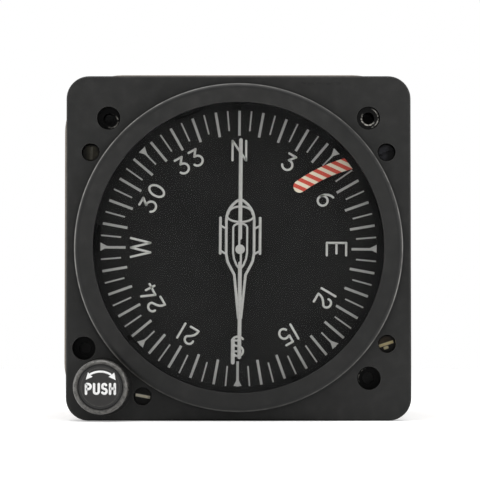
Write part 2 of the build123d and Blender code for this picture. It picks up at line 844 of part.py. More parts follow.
# Mitre gears between card and outer gimbal, drawn to one apex at the gyro's centre
with BuildPart() as card_bevel_gear:
    for axial in (bevel_pitch_r, bevel_pitch_r - bevel_face):
        with BuildSketch(at_depth(gyro_y - axial)):
            with BuildLine():
                Polyline(*bevel_outline(axial, 270), close=True)
            make_face()
    loft(ruled=True)
    with BuildSketch(at_depth(bevel_front + bevel_web_t)):
        Circle(bevel_pitch_r - bevel_rim - bevel_face)
    extrude(amount=bevel_web_t - bevel_face, mode=Mode.SUBTRACT)
    with BuildSketch(at_depth(bevel_front)):
        with PolarLocations((bevel_pitch_r - bevel_rim + bevel_hub_r) / 2, 6):
            Circle(bevel_rim, mode=Mode.ADD)
    extrude(amount=-bevel_face, mode=Mode.SUBTRACT)
    with BuildSketch(at_depth(spur_rear + free_gap)):
        Circle(bevel_hub_r)
    extrude(amount=spur_rear + free_gap - bevel_rear)
    with BuildSketch(at_depth(spur_rear + free_gap)):
        Circle(card_shaft_r + seat_gap)
    extrude(amount=spur_rear + free_gap - bevel_rear, mode=Mode.SUBTRACT)
keep(card_bevel_gear, "card_bevel_gear")

with BuildPart() as gimbal_bevel_gear:
    for axial in (bevel_pitch_r, bevel_pitch_r - bevel_face):
        with BuildSketch(Plane((0, gyro_y, -axial))):
            with BuildLine():
                Polyline(*bevel_outline(axial, 270 + 180 / bevel_teeth), close=True)
            make_face()
    loft(ruled=True)
    with BuildSketch(Plane((0, gyro_y, -bevel_pitch_r))):
        with PolarLocations((bevel_pitch_r - bevel_rim + bevel_hub_r) / 2, 6):
            Circle(bevel_rim)
    extrude(amount=bevel_face, mode=Mode.SUBTRACT)
    with BuildSketch(Plane((0, gyro_y, gimbal_gear_hub_end))):
        Circle(bevel_hub_r)
    extrude(amount=-bevel_pitch_r - gimbal_gear_hub_end)
    with BuildSketch(Plane((0, gyro_y, gimbal_gear_hub_end))):
        Circle(gimbal_pivot_r + seat_gap)
    extrude(amount=bevel_face - bevel_pitch_r - gimbal_gear_hub_end, mode=Mode.SUBTRACT)
keep(gimbal_bevel_gear, "gimbal_bevel_gear")

# Outer gimbal: an upright ring with bores for its own pivots and for the tilt bearings
with BuildPart() as outer_gimbal:
    with BuildSketch(at_depth(gyro_y - gimbal_depth / 2)):
        RectangleRounded(2 * gimbal_half_width, 2 * gimbal_half_height, gimbal_corner_r)
        RectangleRounded(
            2 * gimbal_inner_width,
            2 * (gimbal_half_height - gimbal_member),
            gimbal_window_corner_r,
            mode=Mode.SUBTRACT,
        )
    extrude(amount=-gimbal_depth)
    with Locations((0, gyro_y, 0)):
        Cylinder(gimbal_pivot_r + seat_gap, 2 * gimbal_half_height, mode=Mode.SUBTRACT)
        Cylinder(
            tilt_bearing_r + seat_gap, 2 * gimbal_half_width, rotation=(0, 90, 0), mode=Mode.SUBTRACT
        )
keep(outer_gimbal, "outer_gimbal")

with BuildPart() as gimbal_pivots:
    for side in (1, -1):
        with BuildSketch(Plane((0, gyro_y, side * (gimbal_half_height - gimbal_member)))):
            Circle(gimbal_pivot_r)
        extrude(amount=side * (arm_outer - free_gap - gimbal_half_height + gimbal_member))
keep(gimbal_pivots, "gimbal_pivots")

with BuildPart() as gimbal_bearings:
    for side in (1, -1):
        with BuildSketch(Plane((0, gyro_y, side * arm_inner))):
            Circle(gimbal_bearing_r)
            Circle(gimbal_pivot_r + running_gap, mode=Mode.SUBTRACT)
        extrude(amount=side * arm_t)
keep(gimbal_bearings, "gimbal_bearings")

# Slip rings on the upper pivot, with their block of brushes
slip_pitch = slip_stack / slip_ring_count
slip_heights = [gimbal_half_height + slip_pitch * (i + 0.5) for i in range(slip_ring_count)]
with BuildPart() as slip_rings:
    with BuildSketch(Plane((0, gyro_y, gimbal_half_height))):
        Circle(slip_core_r)
    extrude(amount=slip_stack)
    for height in slip_heights:
        with BuildSketch(Plane((0, gyro_y, height - slip_ring_t / 2))):
            Circle(slip_ring_r)
        extrude(amount=slip_ring_t)
    with BuildSketch(Plane((0, gyro_y, gimbal_half_height))):
        Circle(gimbal_pivot_r + seat_gap)
    extrude(amount=slip_stack, mode=Mode.SUBTRACT)
keep(slip_rings, "slip_rings")

with BuildPart() as brush_block:
    with BuildSketch(at_depth(brush_block_front)):
        with Locations((0, (arm_inner + brush_block_bottom) / 2)):
            Rectangle(brush_block_w, arm_inner - brush_block_bottom)
    extrude(amount=-brush_block_depth)
    fillet(brush_block.edges().filter_by(Axis.Y).sort_by(Axis.Z)[0:2], brush_block_edge_r)
keep(brush_block, "brush_block")

with BuildPart() as brushes:
    with BuildSketch(at_depth(brush_block_front)):
        with Locations(*[(0, height) for height in slip_heights]):
            Circle(brush_r)
    extrude(amount=brush_block_front - gyro_y - slip_ring_r - running_gap)
keep(brushes, "brushes")

# Inner gimbal: the rotor's case in two cups, with tilt pivots on the front one
with BuildPart() as rotor_case_front:
    with BuildSketch(at_depth(gyro_y - rotor_case_half)):
        Circle(rotor_case_r)
    extrude(amount=-rotor_case_half - rotor_case_split)
    fillet(rotor_case_front.faces().sort_by(Axis.Y)[0].edges(), rotor_case_edge_r)
    with Locations((0, gyro_y, 0)):
        Cylinder(tilt_boss_r, 2 * (rotor_case_r + tilt_pivot_r), rotation=(0, 90, 0))
    with BuildSketch(at_depth(gyro_y - rotor_case_half + rotor_case_end)):
        Circle(rotor_case_r - rotor_case_wall)
    extrude(amount=rotor_case_end - rotor_case_half - rotor_case_split, mode=Mode.SUBTRACT)
    with BuildSketch(at_depth(gyro_y - rotor_case_half + rotor_case_end)):
        Circle(rotor_boss_r)
    extrude(amount=-rotor_boss_t)
    with BuildSketch(at_depth(gyro_y - rotor_case_half + rotor_case_end)):
        Circle(rotor_bearing_r + seat_gap)
    extrude(amount=-rotor_boss_t, mode=Mode.SUBTRACT)
    with Locations((0, gyro_y, 0)):
        Cylinder(
            tilt_pivot_r + seat_gap,
            2 * (rotor_case_r + 2 * tilt_pivot_r),
            rotation=(0, 90, 0),
            mode=Mode.SUBTRACT,
        )
keep(rotor_case_front, "rotor_case_front")

with BuildPart() as rotor_case_rear:
    with BuildSketch(at_depth(gyro_y + rotor_case_split)):
        Circle(rotor_case_r)
    extrude(amount=rotor_case_split - rotor_case_half)
    fillet(rotor_case_rear.faces().sort_by(Axis.Y)[-1].edges(), rotor_case_edge_r)
    with BuildSketch(at_depth(gyro_y + rotor_case_split)):
        Circle(rotor_case_r - rotor_case_wall)
    extrude(amount=rotor_case_split - rotor_case_half + rotor_case_end, mode=Mode.SUBTRACT)
    with BuildSketch(at_depth(gyro_y + rotor_case_half - rotor_case_end - rotor_boss_t)):
        Circle(rotor_boss_r)
        Circle(rotor_bearing_r + seat_gap, mode=Mode.SUBTRACT)
    extrude(amount=-rotor_boss_t)
keep(rotor_case_rear, "rotor_case_rear")

with BuildPart() as tilt_pivots:
    for side in (1, -1):
        with BuildSketch(Plane(origin=(side * (rotor_case_r - rotor_case_wall), gyro_y, 0), z_dir=(side, 0, 0))):
            Circle(tilt_pivot_r)
        extrude(amount=gimbal_half_width - free_gap - rotor_case_r + rotor_case_wall)
keep(tilt_pivots, "tilt_pivots")

with BuildPart() as tilt_bearings:
    for side in (1, -1):
        with BuildSketch(Plane(origin=(side * gimbal_inner_width, gyro_y, 0), z_dir=(side, 0, 0))):
            Circle(tilt_bearing_r)
            Circle(tilt_pivot_r + running_gap, mode=Mode.SUBTRACT)
        extrude(amount=gimbal_upright)
keep(tilt_bearings, "tilt_bearings")

# Rotor with a heavy rim, round a stator that the rear cup carries
rotor_shaft_half = rotor_case_half - rotor_case_end - free_gap / 2
with BuildPart() as gyro_rotor:
    with BuildSketch(Plane.XY):
        with BuildLine():
            Polyline(
                (0, gyro_y - rotor_shaft_half),
                (rotor_shaft_r, gyro_y - rotor_shaft_half),
                (rotor_shaft_r, gyro_y - rotor_half),
                (rotor_r, gyro_y - rotor_half),
                (rotor_r, gyro_y + rotor_half),
                (rotor_rim_r, gyro_y + rotor_half),
                (rotor_rim_r, gyro_y - rotor_half + rotor_web_t),
                (rotor_shaft_r, gyro_y - rotor_half + rotor_web_t),
                (rotor_shaft_r, gyro_y + rotor_shaft_half),
                (0, gyro_y + rotor_shaft_half),
                close=True,
            )
        make_face()
    revolve(axis=Axis.Y)
keep(gyro_rotor, "gyro_rotor")

with BuildPart() as rotor_bearings:
    for start in (-rotor_case_half + rotor_case_end, rotor_case_half - rotor_case_end - rotor_bearing_w):
        with BuildSketch(at_depth(gyro_y + start)):
            Circle(rotor_bearing_r)
            Circle(rotor_shaft_r + running_gap, mode=Mode.SUBTRACT)
        extrude(amount=-rotor_bearing_w)
keep(rotor_bearings, "rotor_bearings")

with BuildPart() as stator:
    with BuildSketch(at_depth(gyro_y - stator_front)):
        Circle(stator_r)
        with PolarLocations(stator_r, stator_slots):
            Rectangle(stator_r / 2, stator_slot_w, mode=Mode.SUBTRACT)
        Circle(stator_bore_r, mode=Mode.SUBTRACT)
    extrude(amount=-stator_front - rotor_case_half + rotor_case_end + rotor_boss_t)
keep(stator, "stator")

# Knob with a rounded rim, a groove and a flat face, on its shaft
face_r = knob_r - knob_rim_w - knob_groove_w
with BuildPart() as setting_knob:
    with BuildSketch(beside(knob_at)):
        with BuildLine():
            Polyline(
                (0, knob_front),
                (face_r, knob_front),
                (face_r, knob_front + knob_groove_d),
                (face_r + knob_groove_w, knob_front + knob_groove_d),
                (face_r + knob_groove_w, knob_front),
                (knob_r, knob_front),
                (knob_r, -knob_rear),
                (knob_skirt_bore_r, -knob_rear),
                (knob_skirt_bore_r, -knob_rear - knob_skirt_depth),
                (knob_shaft_r + seat_gap, -knob_rear - knob_skirt_depth),
                (knob_shaft_r + seat_gap, knob_shaft_front),
                (0, knob_shaft_front),
                close=True,
            )
        make_face()
    revolve(axis=turning_axis(knob_at))
    rim = setting_knob.edges().filter_by(GeomType.CIRCLE)
    rim = rim.filter_by(lambda edge: abs(edge.radius - knob_r) < seat_gap).sort_by(Axis.Y)
    fillet(rim[0], knob_edge_r)
    fillet(rim[-1], knob_edge_r / 3)
    with BuildSketch(at_depth(knob_front + knob_edge_r + knob_band)):
        with Locations(knob_at), PolarLocations(knob_r + knob_flute_r - knob_flute_d, knob_flutes):
            Circle(knob_flute_r)
    extrude(amount=2 * knob_band + knob_edge_r - knob_length, mode=Mode.SUBTRACT)
    with BuildSketch(Plane(origin=(knob_at[0], knob_front + set_screw_depth, knob_at[1]), z_dir=(0, 0, -1))):
        Circle(set_screw_r + seat_gap)
    extrude(amount=knob_r, mode=Mode.SUBTRACT)
keep(setting_knob, "setting_knob")

with BuildPart() as knob_set_screw:
    with BuildSketch(
        Plane(origin=(knob_at[0], knob_front + set_screw_depth, knob_at[1] - knob_shaft_r - seat_gap), z_dir=(0, 0, -1))
    ):
        Circle(set_screw_r)
    extrude(amount=knob_r - knob_shaft_r - knob_edge_r)
keep(knob_set_screw, "knob_set_screw")

with BuildPart() as knob_shaft:
    with BuildSketch(at_depth(knob_shaft_front)):
        with Locations(knob_at):
            Circle(knob_shaft_r)
    extrude(amount=knob_shaft_front - knob_shaft_end)
    for start in (fork_front - slot_gap - collar_t, fork_front + fork_t + slot_gap):
        with BuildSketch(at_depth(start)):
            with Locations(knob_at):
                Circle(collar_r)
        extrude(amount=-collar_t)
keep(knob_shaft, "knob_shaft")

with BuildPart() as pinion:
    with BuildSketch(facing(knob_at, pinion_front)):
        with BuildLine():
            Polyline(*spur_outline(pinion_teeth, knob_angle - 180), close=True)
        make_face()
        Circle(knob_shaft_r + seat_gap, mode=Mode.SUBTRACT)
    extrude(amount=-pinion_t)
keep(pinion, "pinion")

# Bushing, seal and spring of the knob
with BuildPart() as knob_bushing:
    with BuildSketch(beside(knob_at)):
        with BuildLine():
            Polyline(
                (knob_shaft_r + running_gap, spring_rear),
                (bushing_flange_r, spring_rear),
                (bushing_flange_r, knob_recess_depth),
                (bushing_r - seat_gap, knob_recess_depth),
                (bushing_r - seat_gap, flange_rear),
                (knob_shaft_r + running_gap, flange_rear),
                (knob_shaft_r + running_gap, seal_groove_front + 2 * seal_r),
                (knob_shaft_r + running_gap + 2 * seal_r, seal_groove_front + 2 * seal_r),
                (knob_shaft_r + running_gap + 2 * seal_r, seal_groove_front),
                (knob_shaft_r + running_gap, seal_groove_front),
                close=True,
            )
        make_face()
    revolve(axis=turning_axis(knob_at))
keep(knob_bushing, "knob_bushing")

with BuildPart() as shaft_seal:
    with BuildSketch(beside(knob_at)):
        with Locations((knob_shaft_r + running_gap + seal_r, seal_groove_front + seal_r)):
            Circle(seal_r - seat_gap)
    revolve(axis=turning_axis(knob_at))
keep(shaft_seal, "shaft_seal")

spring_height = spring_rear - spring_front - 2 * spring_wire_r - 2 * seat_gap
spring_start = (knob_at[0], spring_rear - spring_wire_r - seat_gap, knob_at[1])
with BuildPart() as knob_spring:
    with BuildLine():
        coil = Helix(
            pitch=spring_height / spring_turns,
            height=spring_height,
            radius=spring_r,
            center=spring_start,
            direction=(0, -1, 0),
        )
    with BuildSketch(Plane(origin=coil @ 0, z_dir=coil % 0)):
        RegularPolygon(spring_wire_r, 6)
    sweep(path=coil, is_frenet=True)
keep(knob_spring, "knob_spring")

# Fork that moves in and out with the knob, and the pin that it slides on
with BuildPart() as caging_fork:
    with BuildSketch(at_depth(fork_front)):
        with Locations(knob_at):
            Circle(collar_r + fork_margin)
        with Locations(guide_at):
            Circle(guide_r + fork_margin)
        make_hull()
        with Locations(knob_at):
            Circle(knob_shaft_r + slot_gap, mode=Mode.SUBTRACT)
        with Locations(guide_at):
            Circle(guide_r + running_gap, mode=Mode.SUBTRACT)
    extrude(amount=-fork_t)
keep(caging_fork, "caging_fork")

with BuildPart() as guide_pin:
    with BuildSketch(at_depth(flange_rear)):
        with Locations(guide_at):
            Circle(guide_r)
    extrude(amount=flange_rear - guide_end)
keep(guide_pin, "guide_pin")

# Flag: a curved vane that lies along the ring when hidden, turned out over the card at rest
with BuildPart() as flag_vane:
    with BuildSketch(at_depth(flag_front)) as vane:
        with BuildLine():
            CenterArc((0, 0), flag_pivot_r, flag_angle, flag_span)
        trace(line_width=flag_w)
        with Locations(on_circle(flag_pivot_r, flag_angle + flag_span)):
            Circle(flag_w / 2)
        with Locations(flag_at):
            Circle(flag_hub_r)
            Circle(flag_shaft_r + seat_gap, mode=Mode.SUBTRACT)
    extrude(amount=-flag_t)
flag_vane.part = flag_vane.part.rotate(turning_axis(flag_at), -flag_swing)
keep(flag_vane, "flag_vane")

with BuildPart() as flag_shaft:
    with BuildSketch(at_depth(flag_front)):
        with Locations(flag_at):
            Circle(flag_shaft_r)
    extrude(amount=flag_front - flag_coil_front - flag_coil_length)
keep(flag_shaft, "flag_shaft")

with BuildPart() as flag_bushing:
    with BuildSketch(at_depth(flange_rear)):
        with Locations(flag_at):
            Circle(flag_bushing_r)
            Circle(flag_shaft_r + running_gap, mode=Mode.SUBTRACT)
    extrude(amount=-bulkhead_t - flag_coil_gap)
keep(flag_bushing, "flag_bushing")

with BuildPart() as flag_coil:
    with BuildSketch(at_depth(flag_coil_front)):
        with Locations(flag_at):
            Circle(flag_coil_r)
            Circle(flag_shaft_r + running_gap, mode=Mode.SUBTRACT)
    extrude(amount=-flag_coil_length)
    with BuildSketch(at_depth(flag_coil_front + flag_coil_length / 4)):
        with Locations(flag_at):
            Circle(flag_coil_r)
            Circle(flag_coil_r - 0.6, mode=Mode.SUBTRACT)
    extrude(amount=-flag_coil_length / 2, mode=Mode.SUBTRACT)
keep(flag_coil, "flag_coil")

# Inverter: board on standoffs, transformer, capacitors and the leads to the receptacle
with BuildPart() as board_standoffs:
    with BuildSketch(at_depth(rear_plate_rear)):
        with Locations(*standoffs):
            RegularPolygon(standoff_r, 6)
    extrude(amount=-board_gap)
keep(board_standoffs, "board_standoffs")

with BuildPart() as inverter_board:
    with BuildSketch(at_depth(board_front)):
        RectangleRounded(board_width, board_height, board_corner_r)
        with Locations(*standoffs):
            Circle(screw_shank_r, mode=Mode.SUBTRACT)
    extrude(amount=-board_t)
keep(inverter_board, "inverter_board")

with BuildPart() as transformer:
    with BuildSketch(at_depth(board_rear)):
        with Locations(transformer_at):
            Rectangle(transformer_w, transformer_h)
            with GridLocations(transformer_w - 2 * core_w + winding_margin, 0, 2, 1):
                Rectangle(winding_margin, transformer_h - 2 * winding_margin, mode=Mode.SUBTRACT)
    extrude(amount=-transformer_length)
    fillet(transformer.edges().filter_by(Axis.Y).group_by(Axis.X)[0], transformer_edge_r)
keep(transformer, "transformer")

with BuildPart() as capacitors:
    with BuildSketch(at_depth(board_rear)):
        with Locations(*capacitor_at):
            Circle(capacitor_r)
    extrude(amount=-capacitor_length)
    fillet(capacitors.faces().sort_by(Axis.Y)[-2:].edges(), capacitor_edge_r)
keep(capacitors, "capacitors")

with BuildPart() as harness:
    with BuildLine():
        route = Spline(
            (harness_at[0], board_rear, harness_at[1]),
            (0, insert_front, 0),
            tangents=((0, 1, 0), (0, 1, 0)),
        )
    with BuildSketch(Plane(origin=route @ 0, z_dir=route % 0)):
        Circle(harness_r)
    sweep(path=route)
keep(harness, "harness")
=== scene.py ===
# %% [markdown]
# # A directional gyro
# The real object is a panel instrument: a square black bezel with a raised ring and a glass, a compass
# card behind it, a flag, a setting knob, and a long case with a connector at the back. The solids come
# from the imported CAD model. They could be modelled again here, but the joints and the sizes belong to
# the CAD, so this script only dresses them: paint, wear, printed marks, a floor and light.
# Every size below is in millimetres, times MM.

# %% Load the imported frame
import json
from math import cos, pi, radians, sin

import bpy
from mathutils import Euler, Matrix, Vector


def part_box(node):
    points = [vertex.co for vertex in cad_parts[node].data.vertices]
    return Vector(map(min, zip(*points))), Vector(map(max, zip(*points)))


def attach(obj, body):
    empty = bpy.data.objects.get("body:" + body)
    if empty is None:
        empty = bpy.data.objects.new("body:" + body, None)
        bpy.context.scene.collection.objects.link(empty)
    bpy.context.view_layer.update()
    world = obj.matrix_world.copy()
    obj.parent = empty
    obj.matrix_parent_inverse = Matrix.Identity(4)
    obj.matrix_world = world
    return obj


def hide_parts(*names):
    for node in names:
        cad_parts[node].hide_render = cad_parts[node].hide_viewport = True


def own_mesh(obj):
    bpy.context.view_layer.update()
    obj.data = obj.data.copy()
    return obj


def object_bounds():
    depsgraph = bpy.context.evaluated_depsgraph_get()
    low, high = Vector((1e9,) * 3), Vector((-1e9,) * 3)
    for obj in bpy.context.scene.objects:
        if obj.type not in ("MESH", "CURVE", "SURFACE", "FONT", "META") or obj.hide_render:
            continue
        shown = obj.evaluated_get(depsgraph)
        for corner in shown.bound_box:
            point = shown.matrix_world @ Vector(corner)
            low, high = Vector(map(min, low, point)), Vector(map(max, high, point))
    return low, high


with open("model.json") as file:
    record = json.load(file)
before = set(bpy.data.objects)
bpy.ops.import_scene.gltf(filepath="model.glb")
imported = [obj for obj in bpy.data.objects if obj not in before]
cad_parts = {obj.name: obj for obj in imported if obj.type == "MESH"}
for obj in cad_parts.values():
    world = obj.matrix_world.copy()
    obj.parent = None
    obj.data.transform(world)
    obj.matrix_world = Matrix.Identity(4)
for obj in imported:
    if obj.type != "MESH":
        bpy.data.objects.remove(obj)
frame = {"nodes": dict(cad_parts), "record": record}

MM = 0.001
nodes = frame["nodes"]
slot_of = {part["node"]: part["material_slot"] for part in frame["record"]["subparts"]}
cad_low, cad_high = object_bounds()
print("CAD nodes:", len(nodes), "box in mm:", [round((b - a) / MM, 1) for a, b in zip(cad_low, cad_high)])

# %% [markdown]
# ## How materials are written here
# A material is a small graph of nodes. It could be clicked together in the editor, but a helper that
# adds one node and joins it in the same line keeps each finish to a few lines. All patterns read
# Object coordinates, scaled to millimetres. The CAD pieces sit at the origin with their place in the
# mesh, so a pattern stays on its piece when a joint moves.

# %% Helpers for node graphs
def add(tree, kind, inputs=None, **settings):
    """Adds a node, sets its settings, and links or sets the inputs that are named or numbered."""
    node = tree.nodes.new(kind)
    for name, value in settings.items():
        setattr(node, name, value)
    for socket, value in (inputs or {}).items():
        if isinstance(value, bpy.types.NodeSocket):
            tree.links.new(value, node.inputs[socket])
        else:
            node.inputs[socket].default_value = value
    return node


def finish(name, colour, roughness, metallic=0.0):
    """A material with its tree, its shader and its Object coordinates in millimetres."""
    material = bpy.data.materials.new(name)
    material.use_nodes = True
    tree = material.node_tree
    shader = tree.nodes["Principled BSDF"]
    shader.inputs["Base Color"].default_value = (*colour, 1)
    shader.inputs["Roughness"].default_value = roughness
    shader.inputs["Metallic"].default_value = metallic
    where = add(tree, "ShaderNodeTexCoord").outputs["Object"]
    scaled = add(tree, "ShaderNodeVectorMath", {0: where, "Scale": 1 / MM}, operation="SCALE")
    return material, tree, shader, scaled.outputs["Vector"]


def noise(tree, where, scale, detail=3.0):
    return add(tree, "ShaderNodeTexNoise", {"Vector": where, "Scale": scale, "Detail": detail}).outputs[0]


def ramp(tree, factor, *stops):
    """Turns a factor into a colour; each stop is (place, colour)."""
    node = add(tree, "ShaderNodeValToRGB", {"Fac": factor})
    points = node.color_ramp.elements
    while len(points) < len(stops):
        points.new(0.5)
    for point, (place, colour) in zip(points, stops):
        point.position = place
        point.color = (*colour, 1)
    return node.outputs["Color"]


def grey(value):
    return (value, value, value)


def maths(tree, operation, first, second=0.0):
    return add(tree, "ShaderNodeMath", {0: first, 1: second}, operation=operation).outputs["Value"]


def product(tree, first, *others):
    """Multiplies any number of values."""
    for other in others:
        first = maths(tree, "MULTIPLY", first, other)
    return first


def vectors(tree, operation, first, second=(0, 0, 0)):
    """Arithmetic on vectors; a length or a dot product is in Value, the rest is in Vector."""
    return add(tree, "ShaderNodeVectorMath", {0: first, 1: second}, operation=operation).outputs


def part_of(tree, where, axis):
    """One coordinate of a place: X, Y or Z."""
    return add(tree, "ShaderNodeSeparateXYZ", {0: where}).outputs[axis]


def mixed(tree, factor, first, second, blend="MIX"):
    """Mixes two colours, or lays the second over the first."""
    node = add(tree, "ShaderNodeMix", {0: factor, 6: first, 7: second}, data_type="RGBA", blend_type=blend)
    return node.outputs[2]


def tinted(tree, colour, tint):
    """Multiplies a colour by another, or by a value."""
    return mixed(tree, 1.0, colour, tint, "MULTIPLY")


def between(tree, factor, first, second):
    """Mixes two values."""
    return add(tree, "ShaderNodeMix", {0: factor, 2: first, 3: second}, data_type="FLOAT").outputs[0]


def spread(tree, value, low, high, start=0.0, stop=1.0, **settings):
    """Maps a value between two limits to 0 and 1, or to the two given ends."""
    limits = {"Value": value, "From Min": low, "From Max": high, "To Min": start, "To Max": stop}
    return add(tree, "ShaderNodeMapRange", limits, **settings).outputs["Result"]


def band(tree, value, low, high, soft):
    """Near 1 where the value lies between two limits, with soft sides."""
    rising = spread(tree, value, low - soft, low)
    falling = spread(tree, value, high, high + soft)
    return maths(tree, "SUBTRACT", rising, falling)


def offset_from(tree, where, point):
    """The place relative to a point of the dial's plane, without its depth."""
    apart = vectors(tree, "SUBTRACT", where, (point[0], 0, point[1]))["Vector"]
    return vectors(tree, "MULTIPLY", apart, (1, 0, 1))["Vector"]


def length_of(tree, vector):
    return vectors(tree, "LENGTH", vector)["Value"]


def along(tree, vector, angle):
    """How far a place lies along a direction, given by its angle in degrees."""
    return vectors(tree, "DOT_PRODUCT", vector, (cos(radians(angle)), 0, sin(radians(angle))))["Value"]


def bumped(tree, shader, height, depth):
    """Gives the shader a bump of that depth in millimetres."""
    bump = add(tree, "ShaderNodeBump", {"Height": height, "Strength": 1.0, "Distance": depth * MM})
    tree.links.new(bump.outputs["Normal"], shader.inputs["Normal"])


print("helpers ready")

# %% [markdown]
# ## Black anodised metal
# The bezel is a machined casting, blasted and dyed black. It isn't one flat black: handling has left
# it a little lighter in cloudy patches, the corners have worn to bare metal, and dust sits on it. A
# picture texture could show that, but noise at three scales does it with nothing to load: clouds of a
# centimetre or two, scuffs of some millimetres, and the blasted grain of a fifth of one. The worn
# corners come from a Bevel node, which compares the surface with a rounded copy of itself.

# %% Wear and dust, for any finish
def worn_edges(tree, radius, low, high):
    """Near 1 on sharp corners and 0 on flat faces."""
    rounded = add(tree, "ShaderNodeBevel", {"Radius": radius * MM}, samples=6).outputs["Normal"]
    flat = add(tree, "ShaderNodeNewGeometry").outputs["True Normal"]
    bend = maths(tree, "SUBTRACT", 1.0, vectors(tree, "DOT_PRODUCT", rounded, flat)["Value"])
    return spread(tree, bend, low, high)


def specks(tree, where, spacing, size, share):
    """Small dots of dust, in that share of cells."""
    cells = add(tree, "ShaderNodeTexVoronoi", {"Vector": where, "Scale": 1 / spacing})
    near = maths(tree, "LESS_THAN", cells.outputs["Distance"], size / spacing)
    draw = maths(tree, "FRACT", product(tree, cells.outputs["Color"], 7.31))
    return product(tree, near, maths(tree, "GREATER_THAN", draw, 1 - share))


def blasted_black(tree, where, grain):
    """The dyed surface: clouds, scuffs and grain."""
    dyed = ((0.3, (0.0120, 0.0124, 0.0116)), (0.7, (0.0186, 0.0182, 0.0174)))
    clouds = ramp(tree, noise(tree, where, 0.06), *dyed)
    scuffs = ((0.30, grey(0.76)), (0.52, grey(0.97)), (0.74, grey(1.38)))
    scuffed = tinted(tree, clouds, ramp(tree, noise(tree, where, 0.35, 6.0), *scuffs))
    return tinted(tree, scuffed, ramp(tree, grain, (0.35, grey(0.82)), (0.65, grey(1.0))))


print("wear ready")

# %% [markdown]
# ## What shows where on the bezel
# Painted shade lies in the corner round the ring and in the shallow groove inside its edge, a painted
# highlight runs along the ring's edge, and one scratch runs near the upper right corner. Such marks have
# a place, so they are bands on the distance from the dial's axis or on X and Z. The ring and the flange
# also get painted shade that changes slowly with height.

# %% Painted shade, a painted highlight and a scratch on the bezel
glass_lip = 1.5
ring_outer = 39.5
ring_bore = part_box("cover_glass")[1].x / MM - glass_lip
scratch_height = (40.45, 40.85)
scratch_ends = (15.0, 24.5)
# The black of the scratch and of painted shade on the knob, the black of painted shade round the ring, and
# the grey of the painted highlight on its edge:
scratch_and_shade_black = (0.003, 0.003, 0.003, 1)
ring_shade_black = (0.006, 0.006, 0.006, 1)
highlight_grey = (0.20, 0.195, 0.185, 1)
worn_corner = (0.105, 0.102, 0.095, 1)
white_dust = (0.60, 0.60, 0.56, 1)


def painted_height_shade(tree, where, from_axis, colour):
    """Painted shade: the ring darker low down, and the flange near its top and its foot."""
    height = part_of(tree, where, "Z")
    ring_shade = product(tree, spread(tree, height, -40.0, 10.0, 0.72, 1.0), 0.94)
    top_shade = spread(tree, height, 25.0, 42.0, 1.0, 0.86)
    foot_shade = spread(tree, height, -42.0, -30.0, 0.80, 1.0)
    on_ring = band(tree, from_axis, ring_bore, ring_outer - 0.9, 0.2)
    return tinted(tree, colour, between(tree, on_ring, product(tree, top_shade, foot_shade), ring_shade))


def painted_ring_shade(tree, from_axis, colour):
    """Painted shade at the ring's foot outside it and in the shallow groove inside its edge."""
    outside = band(tree, from_axis, ring_outer + 0.15, ring_outer + 0.55, 0.35)
    inside = band(tree, from_axis, ring_outer - 1.15, ring_outer - 0.75, 0.25)
    painted_shade = product(tree, maths(tree, "MAXIMUM", outside, inside), 0.55)
    return mixed(tree, painted_shade, colour, ring_shade_black)


def ring_edge_highlight(tree, where, from_axis, colour):
    """Painted highlight along the ring's edge, fainter at the foot and at the upper right."""
    dial = offset_from(tree, where, (0, 0))
    uneven = spread(tree, noise(tree, where, 0.5, 4.0), 0.32, 0.62, 0.35, 1.0)
    not_foot = spread(tree, along(tree, dial, 90), -38.0, -10.0, 0.3, 1.0)
    not_upper_right = spread(tree, along(tree, dial, 60), 15.0, 38.0, 1.0, 0.45)
    edge = band(tree, from_axis, ring_outer - 0.28, ring_outer - 0.14, 0.10)
    edge_highlight = product(tree, uneven, not_foot, not_upper_right, edge)
    return mixed(tree, edge_highlight, colour, highlight_grey)


def scratched(tree, where, colour):
    """One ragged dark scratch."""
    stretched = add(tree, "ShaderNodeMapping", {"Vector": where, "Scale": (0.25, 1, 1.6)}).outputs["Vector"]
    wander = product(tree, noise(tree, stretched, 1.0, 4.0), 1.6)
    line = band(tree, maths(tree, "ADD", part_of(tree, where, "Z"), wander), *scratch_height, 0.2)
    across = band(tree, part_of(tree, where, "X"), *scratch_ends, 0.8)
    broken = spread(tree, noise(tree, where, 1.1), 0.38, 0.55)
    return mixed(tree, product(tree, line, across, broken, 0.6), colour, scratch_and_shade_black)


print("ring bore in mm:", round(ring_bore, 2))

# %% Black finish
def black_finish():
    material, tree, shader, where = finish("worn_black_anodising_painted_light", grey(0.02), 0.5)
    from_axis = length_of(tree, offset_from(tree, where, (0, 0)))
    grain = noise(tree, where, 5.0, 2.0)
    # The colour below carries painted shade that changes with height, painted shade round the ring's foot and
    # in its groove, and a painted highlight on the ring's edge.
    colour = painted_height_shade(tree, where, from_axis, blasted_black(tree, where, grain))
    colour = ring_edge_highlight(tree, where, from_axis, painted_ring_shade(tree, from_axis, colour))
    worn = product(tree, worn_edges(tree, 0.3, 0.05, 0.45), noise(tree, where, 0.9))
    colour = mixed(tree, worn, colour, worn_corner)
    colour = scratched(tree, where, colour)
    colour = mixed(tree, specks(tree, where, 3.2, 0.13, 0.05), colour, white_dust)
    tree.links.new(colour, shader.inputs["Base Color"])
    rough = ramp(tree, noise(tree, where, 0.25), (0.3, grey(0.44)), (0.7, grey(0.58)))
    tree.links.new(rough, shader.inputs["Roughness"])
    shader.inputs["Specular IOR Level"].default_value = 0.3
    bumped(tree, shader, grain, 0.012)
    return material


finishes = {"black_finish": black_finish()}
print("made", finishes["black_finish"].name)

